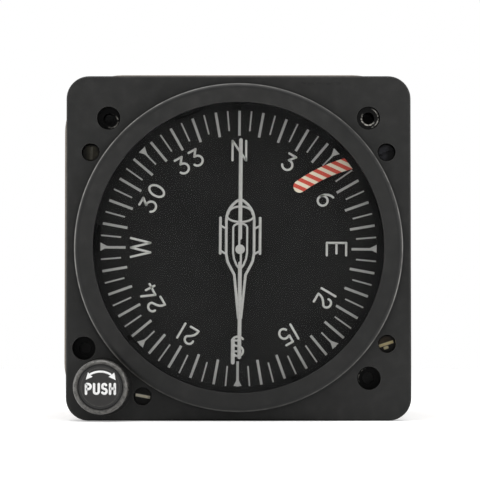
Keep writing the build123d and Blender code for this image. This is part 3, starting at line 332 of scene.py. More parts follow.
# %% [markdown]
# ## The knob's black
# The knob is turned and pushed all day, so its rim is polished to grey while the face stays black; the
# rim's grey is also a painted highlight on its rounded edge. A dark ring inside the rim is painted shade
# in its groove, and a thin grey line inside that is a painted highlight. One way is a second material
# on the rim's faces. The way here needs no face picking: the distance from the knob's own axis says
# where the rim is, and noise breaks its edge up.

# %% Knob finish
knob_low, knob_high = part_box("setting_knob")
knob_centre = (knob_low + knob_high) / 2
knob_at = (knob_centre.x / MM, knob_centre.z / MM)
knob_r = (knob_high.x - knob_low.x) / 2 / MM
knob_face = knob_low.y / MM


def knob_finish():
    material, tree, shader, where = finish("polished_black_knob_painted_light", grey(0.02), 0.4)
    distance = length_of(tree, offset_from(tree, where, knob_at))
    scuffs = spread(tree, noise(tree, where, 1.6, 5.0), 0.36, 0.62, 0.25, 1.0)
    near_face = spread(tree, part_of(tree, where, "Y"), knob_face + 1.1, knob_face + 0.5)
    rim = spread(tree, distance, knob_r - 1.12, knob_r - 0.75)
    # The rim's grey: polish, and a painted highlight on its rounded edge.
    worn = product(tree, rim, scuffs, near_face)
    dark, light = (0.0085, 0.0080, 0.0074), (0.0125, 0.0117, 0.0107)
    base = ramp(tree, noise(tree, where, 0.5), (0.3, dark), (0.7, light))
    # Painted shade in the groove inside the rim.
    painted_shade = product(tree, band(tree, distance, knob_r - 1.85, knob_r - 1.25, 0.2), 0.7)
    colour = mixed(tree, painted_shade, base, scratch_and_shade_black)
    # A thin painted highlight inside that groove.
    inner_highlight = product(tree, band(tree, distance, knob_r - 2.02, knob_r - 1.92, 0.1), scuffs)
    colour = mixed(tree, inner_highlight, colour, (0.045, 0.042, 0.038, 1))
    colour = mixed(tree, worn, colour, (0.115, 0.111, 0.102, 1))
    colour = mixed(tree, specks(tree, where, 1.6, 0.08, 0.12), colour, (0.20, 0.20, 0.19, 1))
    tree.links.new(colour, shader.inputs["Base Color"])
    rough = maths(tree, "SUBTRACT", 0.46, product(tree, worn, 0.2))
    tree.links.new(rough, shader.inputs["Roughness"])
    bumped(tree, shader, noise(tree, where, 6.0, 2.0), 0.008)
    return material


finishes["knob_black"] = knob_finish()
print("knob radius in mm:", round(knob_r, 2))

# %% [markdown]
# ## Paint, mats, rubber and laminate
# The case has a baked olive brown paint with a skin like an orange's. The mask, the card and the
# card's fittings are dead matt, so that nothing shines behind the glass. The seals are rubber, and the
# board is laminate. All are a colour, a slow change of colour and a bump, so one function makes them
# from their numbers.

# %% Painted finishes
def paint(
    name, dark, light, cloud_scale, roughness, grain_scale=2.0, grain_depth=0.01,
    worn=None, dust=0.0, gloss=0.5,
):
    """A coat whose tone changes slowly; it can be worn at the edges, dusty, or less glossy."""
    material, tree, shader, where = finish(name, dark, roughness)
    colour = ramp(tree, noise(tree, where, cloud_scale), (0.3, dark), (0.7, light))
    if worn:
        edge = product(tree, worn_edges(tree, 0.5, 0.04, 0.4), noise(tree, where, 1.2))
        colour = mixed(tree, edge, colour, (*worn, 1))
    if dust:
        colour = mixed(tree, specks(tree, where, 4.5, 0.12, dust), colour, (0.14, 0.14, 0.13, 1))
    tree.links.new(colour, shader.inputs["Base Color"])
    smoother, rougher = grey(roughness - 0.06), grey(roughness + 0.06)
    shade = ramp(tree, noise(tree, where, cloud_scale * 3), (0.3, smoother), (0.7, rougher))
    tree.links.new(shade, shader.inputs["Roughness"])
    shader.inputs["Specular IOR Level"].default_value = gloss
    bumped(tree, shader, noise(tree, where, grain_scale, 2.0), grain_depth)
    return material


finishes["case_paint"] = paint(
    "olive_brown_paint", (0.108, 0.084, 0.060), (0.135, 0.106, 0.077), 0.05, 0.42, 1.3, 0.03,
    worn=(0.42, 0.40, 0.36),
)
finishes["mask_black"] = paint("matt_mask", grey(0.0085), grey(0.0130), 0.2, 0.8, 4.0, gloss=0.08)
finishes["card_black"] = paint(
    "matt_card", (0.0108, 0.0108, 0.0104), (0.0140, 0.0140, 0.0134), 0.06, 0.8, 5.0, 0.0008,
    dust=0.08, gloss=0.08,
)
finishes["card_hub_black"] = paint(
    "matt_card_fittings", grey(0.0108), grey(0.0130), 0.2, 0.9, 5.0, 0.0008, gloss=0.05
)
finishes["rubber"] = paint("black_rubber", grey(0.012), grey(0.022), 0.3, 0.72)
finishes["laminate"] = paint("brown_laminate", (0.085, 0.045, 0.020), (0.12, 0.066, 0.030), 0.5, 0.45)
print("painted:", len(finishes))

# %% [markdown]
# ## The flag's stripes
# The warning flag is red with off-white stripes that lean across it. Two colours and two steep steps
# are all it takes: the distance along the stripes' normal, its fraction of the pitch, and a step at
# each edge of a stripe.

# %% Flag paint
stripe_pitch = 1.80
stripe_lean = radians(24.5)
stripe_shift = 0.41


def flag_paint():
    material, tree, shader, where = finish("striped_flag", (0.5, 0.05, 0.03), 0.5)
    across = vectors(tree, "DOT_PRODUCT", where, (sin(stripe_lean), 0, cos(stripe_lean)))["Value"]
    stripes = maths(tree, "ADD", maths(tree, "DIVIDE", across, stripe_pitch), stripe_shift)
    place = maths(tree, "FRACT", stripes)
    red = ramp(tree, noise(tree, where, 0.6), (0.3, (0.52, 0.045, 0.022)), (0.7, (0.60, 0.062, 0.034)))
    pale = maths(tree, "SUBTRACT", spread(tree, place, 0.49, 0.53), spread(tree, place, 0.97, 1.0))
    tree.links.new(mixed(tree, pale, red, (0.74, 0.68, 0.53, 1)), shader.inputs["Base Color"])
    bumped(tree, shader, noise(tree, where, 3.0), 0.006)
    return material


finishes["flag_paint"] = flag_paint()
print("stripe pitch in mm:", stripe_pitch)

# %% [markdown]
# ## Glass
# A window pane could be a refracting solid, but light then reaches the dial only through slow and
# noisy paths. The pane is thin and flat, so it bends nothing that the eye can see: a surface that is
# nearly clear and keeps a faint gloss gives the same look at once.

# %% Glass
def glass():
    material, tree, shader, where = finish("coated_glass", grey(0.02), 0.04)
    shader.inputs["Alpha"].default_value = 0.06
    smears = ramp(tree, noise(tree, where, 0.08), (0.4, grey(0.03)), (0.7, grey(0.08)))
    tree.links.new(smears, shader.inputs["Roughness"])
    return material


finishes["glass"] = glass()
print("glass ready")

# %% [markdown]
# ## Bare metals
# Bushings and brushes are brass that has gone brown in places, shafts and pivots are steel, and the
# frame and rear fittings are plain alloy. One function makes a metal from its two tints. Its fine
# scratches are noise stretched along one direction, as a lathe or a saw leaves them.

# %% Metals
def metal(name, dark, light, cloud_scale, roughness, stretch=(1, 1, 1), scratch=0.004):
    """A metal of two tints, with scratches along one direction."""
    material, tree, shader, where = finish(name, light, roughness, 1.0)
    tint = ramp(tree, noise(tree, where, cloud_scale), (0.35, dark), (0.65, light))
    tree.links.new(tint, shader.inputs["Base Color"])
    drawn = add(tree, "ShaderNodeMapping", {"Vector": where, "Scale": stretch}).outputs["Vector"]
    lines = noise(tree, drawn, 3.0, 4.0)
    shade = ramp(tree, lines, (0.3, grey(roughness - 0.08)), (0.7, grey(roughness + 0.1)))
    tree.links.new(shade, shader.inputs["Roughness"])
    bumped(tree, shader, lines, scratch)
    return material


finishes["brass"] = metal("aged_brass", (0.20, 0.145, 0.070), (0.50, 0.37, 0.17), 0.35, 0.4)
finishes["steel"] = metal("plated_steel", (0.34, 0.34, 0.35), (0.52, 0.52, 0.53), 0.4, 0.3, (1, 0.1, 1))
finishes["alloy"] = metal("machined_alloy", (0.50, 0.50, 0.51), (0.62, 0.62, 0.62), 0.15, 0.38, (0.15, 1, 1))
print("finishes so far:", len(finishes))

# %% [markdown]
# ## Inserts: painted shade and painted highlights
# The threaded inserts for the panel's screws sit deep in their holes. Their near black colour is painted
# shade of those holes. Pale arcs at the thread's mouth are partly metal that screws have worn clean and
# partly painted highlights. A distance from the hole's centre draws a thin circle, a direction keeps one
# side of it, and noise breaks it up. The list of such arcs is short enough to be drawn one by one.

# %% Insert finish
def insert_shade_and_highlights():
    """Painted shade of the deep holes, with pale arcs round the thread's mouth: worn metal and painted
    highlights.
    """
    material, tree, shader, where = finish("insert_shade_and_highlights", grey(0.004), 0.5)
    # Pale arcs round each mouth: worn metal and painted highlights.
    arc_mask = 0.0
    for centre, radius, half, way, near in insert_arcs:
        apart = offset_from(tree, where, centre)
        ring = band(tree, length_of(tree, apart), radius - half, radius + half, 0.09)
        side = spread(tree, along(tree, apart, way), near * radius, (near + 0.45) * radius)
        arc_mask = maths(tree, "MAXIMUM", arc_mask, product(tree, ring, side))
    pale_arcs = product(tree, arc_mask, spread(tree, noise(tree, where, 1.5, 4.0), 0.38, 0.56))
    # Near black base: painted shade of the deep holes.
    stain_and_shade = ramp(tree, noise(tree, where, 1.4), (0.35, grey(0.0025)), (0.7, grey(0.0060)))
    tree.links.new(mixed(tree, pale_arcs, stain_and_shade, (0.34, 0.33, 0.30, 1)), shader.inputs["Base Color"])
    tree.links.new(product(tree, pale_arcs, 0.5), shader.inputs["Metallic"])
    shader.inputs["Specular IOR Level"].default_value = 0.1
    bumped(tree, shader, noise(tree, where, 4.0), 0.006)
    return material


# Each arc of worn metal and painted highlight: centre, radius, half width, direction in degrees, how much of
# the round is left out
insert_arcs = (
    ((-30.95, 31.0), 1.62, 0.10, -35, 0.05),
    ((31.43, 31.43), 1.68, 0.12, 235, -0.10),
    ((31.43, 31.43), 2.36, 0.08, 0, 0.25),
    ((31.43, -31.43), 2.35, 0.05, 155, 0.60),
)
finishes["insert_shade_black"] = insert_shade_and_highlights()
# These nodes don't take the finish of their material slot
own_finish = {
    "panel_inserts": "insert_shade_black", "bezel_screws": "screw_tints_shade_and_highlights",
    "card_screws": "card_hub_black", "card_hub": "card_hub_black", "card_shaft": "card_hub_black",
}
print("nodes with their own finish:", len(own_finish))

# %% [markdown]
# ## Four screws, four ages
# The bezel's screws were changed over the years: one is nearly black, one olive, one a dull blue grey
# and one brown. Light catching three of the slots is painted in as highlights. They are one piece, so
# the colour depends on the place: the sign of X and of Z picks one of four tints, and each screw has a
# side of painted shade of its own, with a painted dark ring for the shade of the well round its head.

# %% Screw tints, painted shade and painted highlights
def screw_tints_shade_and_highlights():
    material, tree, shader, where = finish("aged_bezel_screws_painted_light", grey(0.02), 0.4)
    right = maths(tree, "GREATER_THAN", part_of(tree, where, "X"), 0.0)
    upper = maths(tree, "GREATER_THAN", part_of(tree, where, "Z"), 0.0)
    left_pair = mixed(tree, upper, (0.005, 0.005, 0.003, 1), (0.052, 0.047, 0.030, 1))
    right_pair = mixed(tree, upper, (0.040, 0.028, 0.015, 1), (0.044, 0.044, 0.052, 1))
    stain_and_shade = ramp(tree, noise(tree, where, 0.9, 4.0), (0.3, grey(0.55)), (0.7, grey(1.15)))
    colour = tinted(tree, mixed(tree, right, left_pair, right_pair), stain_and_shade)
    # Painted shade: each head's shaded side, and a dark ring for the shade of its well.
    dark = 0.0
    for centre, way, low, high in screw_shade:
        apart = offset_from(tree, where, centre)
        close = spread(tree, length_of(tree, apart), 3.0, 2.6)
        rim = spread(tree, length_of(tree, apart), 1.45, 1.85)
        side = maths(tree, "MAXIMUM", spread(tree, along(tree, apart, way), low, high), rim)
        dark = maths(tree, "MAXIMUM", dark, product(tree, close, side))
    colour = mixed(tree, product(tree, dark, 0.85), colour, (0.0035, 0.0035, 0.0032, 1))
    # Painted highlights: the lit edges of three slots, and a second glint on the lower right head.
    slot = 0.0
    for centre, turn, level, reach in slot_shine:
        apart = offset_from(tree, where, centre)
        across = band(tree, along(tree, apart, turn + 90), -0.30, 0.30, 0.10)
        within = spread(tree, length_of(tree, apart), reach + 0.2, reach)
        slot = maths(tree, "MAXIMUM", slot, product(tree, across, within, level))
    bright = mixed(tree, right, (1.0, 0.95, 0.80, 1), (0.95, 0.84, 0.52, 1))
    tree.links.new(mixed(tree, slot, colour, bright), shader.inputs["Base Color"])
    shader.inputs["Specular IOR Level"].default_value = 0.15
    bumped(tree, shader, noise(tree, where, 3.0), 0.006)
    return material


# Each screw: centre, the direction of its side of painted shade in degrees, where that side starts and is
# full
screw_shade = (
    ((35.77, 23.14), -10, -0.1, 0.7), ((-35.77, 23.14), 178, 0.7, 1.3),
    ((-23.14, -35.77), 0, -2.0, -1.9), ((35.77, -23.14), -72, -0.4, 0.2),
)
# Each painted highlight on a slot or a head: centre, turn in degrees, how bright it is, how far it reaches
slot_shine = (
    ((-35.77, 23.14), 88, 0.12, 1.5), ((-23.14, -35.77), -10, 1.0, 1.7),
    ((35.77, -23.14), 18, 0.90, 1.7), ((35.70, -24.05), 18, 0.75, 0.5),
)
finishes["screw_tints_shade_and_highlights"] = screw_tints_shade_and_highlights()
for name, piece in nodes.items():
    piece.data.materials.clear()
    piece.data.materials.append(finishes[own_finish.get(name, slot_of[name])])
print("finishes:", len(finishes), "on", len(nodes), "nodes")

# %% [markdown]
# ## Marks as thin solids
# The dial's marks are silk screened paint. They could be drawn in the material, but then they would
# blur in the export and vanish from the mesh. Here each mark is a real skin of paint, some hundredths
# of a millimetre thick. Geometry Nodes repeat them: one tree rings the dial with ticks, another turns
# any set of lines into strokes with round ends. A third repeats a cut-out shape around the dial.

# %% Helpers for Geometry Nodes
def group(name, sockets):
    """A new tree with named inputs; returns it with its input and output sockets."""
    tree = bpy.data.node_groups.new(name, "GeometryNodeTree")
    tree.interface.new_socket("Geometry", in_out="INPUT", socket_type="NodeSocketGeometry")
    for label, kind in sockets:
        tree.interface.new_socket(label, in_out="INPUT", socket_type="NodeSocket" + kind)
    tree.interface.new_socket("Geometry", in_out="OUTPUT", socket_type="NodeSocketGeometry")
    return tree, add(tree, "NodeGroupInput").outputs, add(tree, "NodeGroupOutput").inputs


def out(tree, geometry, given, result):
    """Lays the flat shape upright on the dial, makes it real and paints it."""
    place = add(tree, "ShaderNodeCombineXYZ", {"Y": given["Front"]}).outputs[0]
    lay = {"Geometry": geometry, "Translation": place, "Rotation": Euler((pi / 2, 0, 0))}
    upright = add(tree, "GeometryNodeTransform", lay).outputs["Geometry"]
    real = add(tree, "GeometryNodeRealizeInstances", {"Geometry": upright}).outputs["Geometry"]
    painted = add(tree, "GeometryNodeSetMaterial", {"Geometry": real, "Material": given["Finish"]})
    tree.links.new(painted.outputs["Geometry"], result["Geometry"])


def joined(tree, *parts):
    join = add(tree, "GeometryNodeJoinGeometry")
    for part in parts:
        tree.links.new(part, join.inputs[0])
    return join.outputs[0]


def ringed(tree, given, radius, shape, wanted=True):
    """Sets a shape on the points of a circle, turned outwards, and turns the ring to its start."""
    circle = add(tree, "GeometryNodeMeshCircle", {"Vertices": given["Count"], "Radius": radius})
    step = maths(tree, "DIVIDE", 2 * pi, given["Count"])
    angle = product(tree, add(tree, "GeometryNodeInputIndex").outputs[0], step)
    turned = add(tree, "FunctionNodeAxisAngleToRotation", {"Axis": (0, 0, 1), "Angle": angle}).outputs[0]
    ring = add(
        tree, "GeometryNodeInstanceOnPoints",
        {"Points": circle.outputs["Mesh"], "Selection": wanted, "Instance": shape, "Rotation": turned},
    )
    start = add(tree, "ShaderNodeCombineXYZ", {"Z": given["Start"]}).outputs[0]
    whole = add(tree, "GeometryNodeTransform", {"Geometry": ring.outputs[0], "Rotation": start})
    return whole.outputs["Geometry"]


def grow(name, tree, body, host=None, **sizes):
    """Runs a tree on a host mesh, keeps the result as a plain mesh and rides it on a body."""
    piece = bpy.data.objects.new(name, host or bpy.data.meshes.new(name))
    bpy.context.scene.collection.objects.link(piece)
    step = piece.modifiers.new("grow", "NODES")
    step.node_group = tree
    sockets = {item.name: item.identifier for item in tree.interface.items_tree if item.in_out == "INPUT"}
    for label, value in sizes.items():
        step[sockets[label.replace("_", " ")]] = value
    shape = bpy.data.meshes.new_from_object(piece.evaluated_get(bpy.context.evaluated_depsgraph_get()))
    piece.modifiers.remove(step)
    piece.data = shape
    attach(piece, body)
    print(name, "faces:", len(shape.polygons))
    return piece


print("Geometry Nodes helpers ready")

# %% White mark paint, and a grey one for painted shade
def mark_paint(name, colour):
    material, tree, shader, where = finish(name, colour, 0.6)
    thin = ramp(tree, noise(tree, where, 2.5, 4.0), (0.3, tuple(0.9 * c for c in colour)), (0.6, colour))
    tree.links.new(thin, shader.inputs["Base Color"])
    shader.inputs["Specular IOR Level"].default_value = 0.2
    return material


letter_white = mark_paint("letter_white", (0.58, 0.58, 0.55))
symbol_white = mark_paint("symbol_white", (0.43, 0.43, 0.41))
# The ticks and the index marks are the letters' white paint; their darker grey is painted shade from the
# ring.
shaded_tick_paint = mark_paint("shaded_tick_paint", (0.42, 0.42, 0.40))
knob_white = mark_paint("knob_white", (0.80, 0.80, 0.79))
paint_t = 0.03 * MM
card_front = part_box("compass_card")[0].y
glass_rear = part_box("cover_glass")[1].y
knob_front = knob_low.y
print("paint on the card at Y", round(card_front / MM, 2), "on the glass at", round(glass_rear / MM, 2))

# %% [markdown]
# ## The ticks of the card
# A compass card has a long tick each 10 degrees and a short thin one between. The tree puts one box
# on each vertex of a circle and turns it by its index. The two rings differ only in their inputs.

# %% Tick tree
def tick_tree():
    tree, given, result = group(
        "ring_of_ticks",
        (("Count", "Int"), ("Start", "Float"), ("Outer radius", "Float"), ("Length", "Float"),
         ("Width", "Float"), ("Thickness", "Float"), ("Front", "Float"), ("Finish", "Material")),
    )
    half = product(tree, given["Length"], 0.5)
    middle = maths(tree, "SUBTRACT", given["Outer radius"], half)
    sizes = {"X": given["Length"], "Y": given["Width"], "Z": given["Thickness"]}
    size = add(tree, "ShaderNodeCombineXYZ", sizes).outputs[0]
    tick = add(tree, "GeometryNodeMeshCube", {"Size": size}).outputs["Mesh"]
    out(tree, ringed(tree, given, middle, tick), given, result)
    return tree


ring_of_ticks = tick_tree()
tick_rim = 33.46 * MM
mark_turn = radians(-0.45)
for name, start, length, width in (
    ("card_ticks_10", 0, 6.06, 0.61),
    ("card_ticks_5", 5, 4.85, 0.36),
):
    grow(
        name, ring_of_ticks, "card", Count=36, Start=mark_turn + radians(start), Outer_radius=tick_rim,
        Length=length * MM, Width=width * MM, Thickness=paint_t, Front=card_front, Finish=shaded_tick_paint,
    )

# %% [markdown]
# ## Letters drawn with a single line
# Instrument lettering is cut with a round cutter that follows one line, so every stroke has the same
# width and round ends. A font file has outlines and would look wrong. Here a letter is a few lines
# and arcs in a box one unit tall, and the stroke tree gives them their width.

# %% Single line alphabet
def arc(cx, cy, rx, ry, start, stop, steps=14):
    """Points along an oval arc, with its angles in degrees."""
    angles = [radians(start + (stop - start) * i / steps) for i in range(steps + 1)]
    return [(cx + rx * cos(a), cy + ry * sin(a)) for a in angles]


def chain(*points):
    """Straight strokes from point to point, each with its own round ends."""
    return [list(pair) for pair in zip(points, points[1:])]


ess = arc(0.30, 0.745, 0.27, 0.255, 35, 270) + arc(0.30, 0.245, 0.30, 0.245, 90, -150)[1:]
two = arc(0.25, 0.76, 0.27, 0.25, 190, -30) + [(0.38, 0.57), (0.24, 0.47), (0.11, 0.34), (0.03, 0.18), (0, 0)]
bowl = arc(0.2, 0.74, 0.26, 0.26, 90, -90)[1:]
belly = [(0, 0.56)] + arc(0.25, 0.31, 0.28, 0.31, 115, -150, 18)
alphabet = {
    "N": (0.70, chain((0, 0), (0, 1), (0.70, 0), (0.70, 1))),
    "E": (0.64, chain((0.64, 1), (0, 1), (0, 0), (0.64, 0)) + [[(0, 0.5), (0.54, 0.5)]]),
    "S": (0.60, [ess]),
    "s": (0.46, [[(0.74 * x, y) for x, y in ess]]),
    "W": (0.97, chain((0, 1), (0.24, 0), (0.485, 1), (0.73, 0), (0.97, 1))),
    "P": (0.46, [[(0, 0), (0, 1)], [(0, 1), (0.2, 1)] + bowl + [(0, 0.48)]]),
    "U": (0.46, [[(0, 1)] + arc(0.23, 0.23, 0.23, 0.23, 180, 360) + [(0.46, 1)]]),
    "H": (0.46, [[(0, 0), (0, 1)], [(0.46, 0), (0.46, 1)], [(0, 0.52), (0.46, 0.52)]]),
    "0": (0.62, [arc(0.31, 0.5, 0.31, 0.5, 0, 360, 28)]),
    "1": (0.0, [[(0, 0), (0, 1)]]),
    "2": (0.56, [two, [(0, 0), (0.56, 0)]]),
    "3": (0.60, chain((0.03, 1), (0.52, 1), (0.22, 0.62)) + [arc(0.28, 0.31, 0.32, 0.31, 100, -155, 18)]),
    "4": (0.62, chain((0.22, 1.03), (-0.13, 0.22), (0.63, 0.20)) + [[(0.41, 0.58), (0.39, -0.01)]]),
    "5": (0.54, chain((0.46, 1), (0, 1), (0, 0.56)) + [belly]),
    "6": (0.62, [arc(0.31, 0.31, 0.31, 0.31, 0, 360, 24), arc(0.62, 0.34, 0.62, 0.66, 182, 105, 10)]),
}


def moved(points, scale, centre, turn):
    """Scales and turns points of the unit box, then moves them, in millimetres."""
    c, s = cos(turn) * scale, sin(turn) * scale
    return [(centre[0] + c * x - s * y, centre[1] + s * x + c * y) for x, y in points]


def written(text, height, centre, turn=0.0, gap=0.34, narrow=1.0):
    """The strokes of a word, centred on a point; a small s is the narrower S of the knob."""
    total = sum(alphabet[letter][0] for letter in text) * narrow + gap * (len(text) - 1)
    strokes, left = [], -total / 2
    for letter in text:
        width, lines = alphabet[letter]
        for line in lines:
            placed = [(left + narrow * x, y - 0.5) for x, y in line]
            strokes.append(moved(placed, height, centre, turn))
        left += width * narrow + gap
    return strokes


def line_mesh(name, strokes):
    """A mesh of loose edges from lists of points in millimetres, for the stroke tree."""
    points, edges = [], []
    for stroke in strokes:
        first = len(points)
        points += [(x * MM, y * MM, 0) for x, y in stroke]
        edges += [(first + i, first + i + 1) for i in range(len(stroke) - 1)]
    mesh = bpy.data.meshes.new(name)
    mesh.from_pydata(points, edges, [])
    return mesh


print("letters:", "".join(alphabet))

# %% Stroke tree
def stroke_tree():
    tree, given, result = group(
        "painted_strokes",
        (("Width", "Float"), ("Thickness", "Float"), ("Front", "Float"), ("Finish", "Material")),
    )
    lines = add(tree, "GeometryNodeMeshToCurve", {"Mesh": given["Geometry"]}).outputs["Curve"]
    flat = {"Width": given["Width"], "Height": given["Thickness"]}
    section = add(tree, "GeometryNodeCurvePrimitiveQuadrilateral", flat).outputs[0]
    swept = {"Curve": lines, "Profile Curve": section, "Fill Caps": True}
    ribbon = add(tree, "GeometryNodeCurveToMesh", swept).outputs["Mesh"]
    ends = add(tree, "GeometryNodeCurveEndpointSelection").outputs[0]
    radius = product(tree, given["Width"], 0.5)
    thinner = product(tree, given["Thickness"], 0.96)
    dot = add(tree, "GeometryNodeMeshCylinder", {"Vertices": 16, "Radius": radius, "Depth": thinner})
    round_ends = {"Points": lines, "Selection": ends, "Instance": dot.outputs["Mesh"]}
    dots = add(tree, "GeometryNodeInstanceOnPoints", round_ends).outputs["Instances"]
    out(tree, joined(tree, ribbon, dots), given, result)
    return tree


painted_strokes = stroke_tree()
print("stroke tree ready")

# %% Words of the dial
letter_place = (23.75, 4.70)
number_place = (24.2, 3.90)
letter_gap = 0.39
dial_words = {
    0: "N", 30: "3", 60: "6", 90: "E", 120: "12", 150: "15", 180: "S", 210: "21", 240: "24", 270: "W",
    300: "30", 330: "33",
}
dial_strokes = []
for heading, word in dial_words.items():
    radius, height = letter_place if word.isalpha() else number_place
    angle = radians(heading) - mark_turn
    centre = (radius * sin(angle), radius * cos(angle))
    dial_strokes += written(word, height, centre, -angle, letter_gap)
grow(
    "card_lettering", painted_strokes, "card", line_mesh("card_lines", dial_strokes), Width=0.54 * MM,
    Thickness=paint_t, Front=card_front, Finish=letter_white,
)

# %% [markdown]
# ## Marks on the glass
# The lubber line, the seven fixed index marks and the plan view of a helicopter don't turn: they are
# printed on the rear of the glass. The helicopter is only lines and arcs, so the stroke tree draws it
# in three widths. The index marks are one cut-out with hollow flanks, set round the dial by a tree.

# %% Lubber line and helicopter
marks_at = (0.37, -0.37)


def mirrored(*strokes):
    return [stroke for line in strokes for stroke in (line, [(-x, y) for x, y in line])]


def shifted(strokes):
    return [moved(stroke, 1.0, marks_at, mark_turn) for stroke in strokes]


cabin_side = [
    (-3.36, 6.93), (-3.36, -1.03), (-3.05, -2.82), (-2.66, -3.72),
    (-1.36, -6.16), (-0.74, -12.2), (-0.30, -16.6),
]
nose = [
    (-3.36, 6.93), (-3.27, 7.85), (-3.02, 8.92), (-2.52, 9.90), (-1.85, 10.76), (-0.98, 11.55),
    (0, 12.12),
]
outline = mirrored(nose, cabin_side)
inner_side = [
    (0, 6.25), (-0.9, 6.08), (-1.45, 5.75), (-1.69, 5.3), (-1.69, -0.8),
    (-1.45, -2.3), (-0.85, -3.8), (0, -4.9),
]
windscreen = [arc(0, 8.55, 2.90, 1.80, 180, 0, 20), arc(0, 8.05, 3.24, 1.45, 182, 358, 14)]
tubes = mirrored([(-4.7, 5.65), (-3.6, 5.05)], [(-4.7, -0.42), (-3.6, -1.05)])
half_lines = [[(-0.2, 2.6), (-0.2, 1.0)], [(0.2, -1.0), (0.2, -4.9)]]
rungs = [[(-1.56, z), (0, z)] for z in (-22.0, -23.3, -24.6, -25.7)]
skids = mirrored([(-4.79, 7.55), (-4.79, -1.0)])
boom = [[(0, 26.4), (0, 2.75)], [(0, -3.4), (0, -26.0)], [(-1.56, -21.9), (-1.56, -27.3)]]
glass_lines = {
    "helicopter_outline": (0.66, outline + skids),
    "helicopter_cabin": (0.50, mirrored(inner_side) + windscreen + tubes + half_lines + rungs),
    "helicopter_boom": (0.92, boom),
}
for level, (name, (width, strokes)) in enumerate(glass_lines.items()):
    grow(
        name, painted_strokes, "housing", line_mesh(name + "_lines", shifted(strokes)), Width=width * MM,
        Thickness=paint_t * (1 + 0.1 * level), Front=glass_rear + paint_t, Finish=symbol_white,
    )

# %% Index mark tree
def cut_mesh(name, outline):
    """A single flat face from points in millimetres."""
    mesh = bpy.data.meshes.new(name)
    mesh.from_pydata([(x * MM, y * MM, 0) for x, y in outline], [], [range(len(outline))])
    return mesh


def index_tree():
    tree, given, result = group(
        "ring_of_cutouts",
        (("Count", "Int"), ("Left out", "Int"), ("Start", "Float"), ("Radius", "Float"),
         ("Thickness", "Float"), ("Front", "Float"), ("Finish", "Material")),
    )
    face = given["Geometry"]
    raised = {"Mesh": face, "Offset Scale": given["Thickness"], "Individual": False}
    front = add(tree, "GeometryNodeExtrudeMesh", raised).outputs["Mesh"]
    back = add(tree, "GeometryNodeFlipFaces", {"Mesh": face}).outputs[0]
    closed = {"Geometry": joined(tree, front, back), "Distance": 1e-6}
    solid = add(tree, "GeometryNodeMergeByDistance", closed).outputs[0]
    index = add(tree, "GeometryNodeInputIndex").outputs[0]
    limits = {2: index, 3: given["Left out"]}
    wanted = add(tree, "FunctionNodeCompare", limits, data_type="INT", operation="GREATER_EQUAL").outputs[0]
    out(tree, ringed(tree, given, given["Radius"], solid, wanted), given, result)
    return tree


ring_of_cutouts = index_tree()
index_r = 33.3 * MM
flank = [(-2.35, 0.10), (-1.6, 0.20), (-0.9, 0.52), (0, 1.0)]
index_outline = flank + [(x, -y) for x, y in reversed(flank)]
grow(
    "index_marks", ring_of_cutouts, "housing", cut_mesh("index_face", index_outline), Count=8, Left_out=1,
    Start=pi / 2 + mark_turn, Radius=index_r, Thickness=paint_t,
    Front=glass_rear + paint_t, Finish=shaded_tick_paint,
)

# %% [markdown]
# ## The knob's word and arrow
# The face says PUSH under an arrow with two heads: the knob is pushed in and then turned. The same
# stroke tree writes it. The two heads are cut-outs, each placed by its own four corners.

# %% Knob marks
word_height = 2.27
word_at = (knob_at[0] + 0.03, knob_at[1] - 0.43)
arrow_r = 4.69
arrow_drop = 1.05
push = written("PUsH", word_height, word_at, gap=0.345, narrow=1.06)
arrow = [[(knob_at[0] + x, knob_at[1] + y) for x, y in arc(0, -arrow_drop, arrow_r, arrow_r, 121, 59, 20)]]
grow(
    "knob_word", painted_strokes, "knob", line_mesh("knob_lines", push), Width=0.58 * MM, Thickness=paint_t,
    Front=knob_front, Finish=knob_white,
)
grow(
    "knob_arrow", painted_strokes, "knob", line_mesh("arrow_lines", arrow), Width=0.48 * MM,
    Thickness=paint_t, Front=knob_front, Finish=knob_white,
)


def prism(name, body, faces, front, thickness, material):
    """Flat cut-outs with a thickness, as one closed mesh that rides on a body."""
    points, sides = [], []
    for corners in faces:
        first, count = len(points), len(corners)
        points += [(x * MM, depth, z * MM) for depth in (front, front + thickness) for x, z in corners]
        near = [first + i for i in range(count)]
        sides.append(near)
        sides.append([i + count for i in reversed(near)])
        sides += [[near[i - 1], near[i - 1] + count, near[i] + count, near[i]] for i in range(count)]
    mesh = bpy.data.meshes.new(name)
    mesh.from_pydata(points, [], sides)
    mesh.materials.append(material)
    piece = bpy.data.objects.new(name, mesh)
    bpy.context.scene.collection.objects.link(piece)
    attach(piece, body)


mast_r = 1.155
mast = [(marks_at[0] + x, marks_at[1] + z) for x, z in arc(0, 0, mast_r, mast_r, 360, 15, 23)]
prism("helicopter_mast", "housing", [mast], glass_rear + paint_t / 3, paint_t, symbol_white)
left_head = [(-3.42, 1.74), (-1.80, 2.42), (-2.40, 2.88), (-2.90, 3.52)]
right_head = [(3.62, 1.64), (3.30, 3.42), (2.62, 2.86), (1.95, 2.42)]
heads = [[(knob_at[0] + x, knob_at[1] + z) for x, z in corners] for corners in (left_head, right_head)]
prism("arrow_heads", "knob", heads, knob_front - paint_t / 2, paint_t, knob_white)
print("knob marks at", [round(v, 2) for v in knob_at])

# %% [markdown]
# ## The knob's spring
# A coil spring sits in the knob's skirt and is pressed shorter when the knob is pushed. The CAD node is
# stiff, so it would cut through the knob. This coil stands for it: a spiral curve with a round wire,
# whose two ends are wound flat.

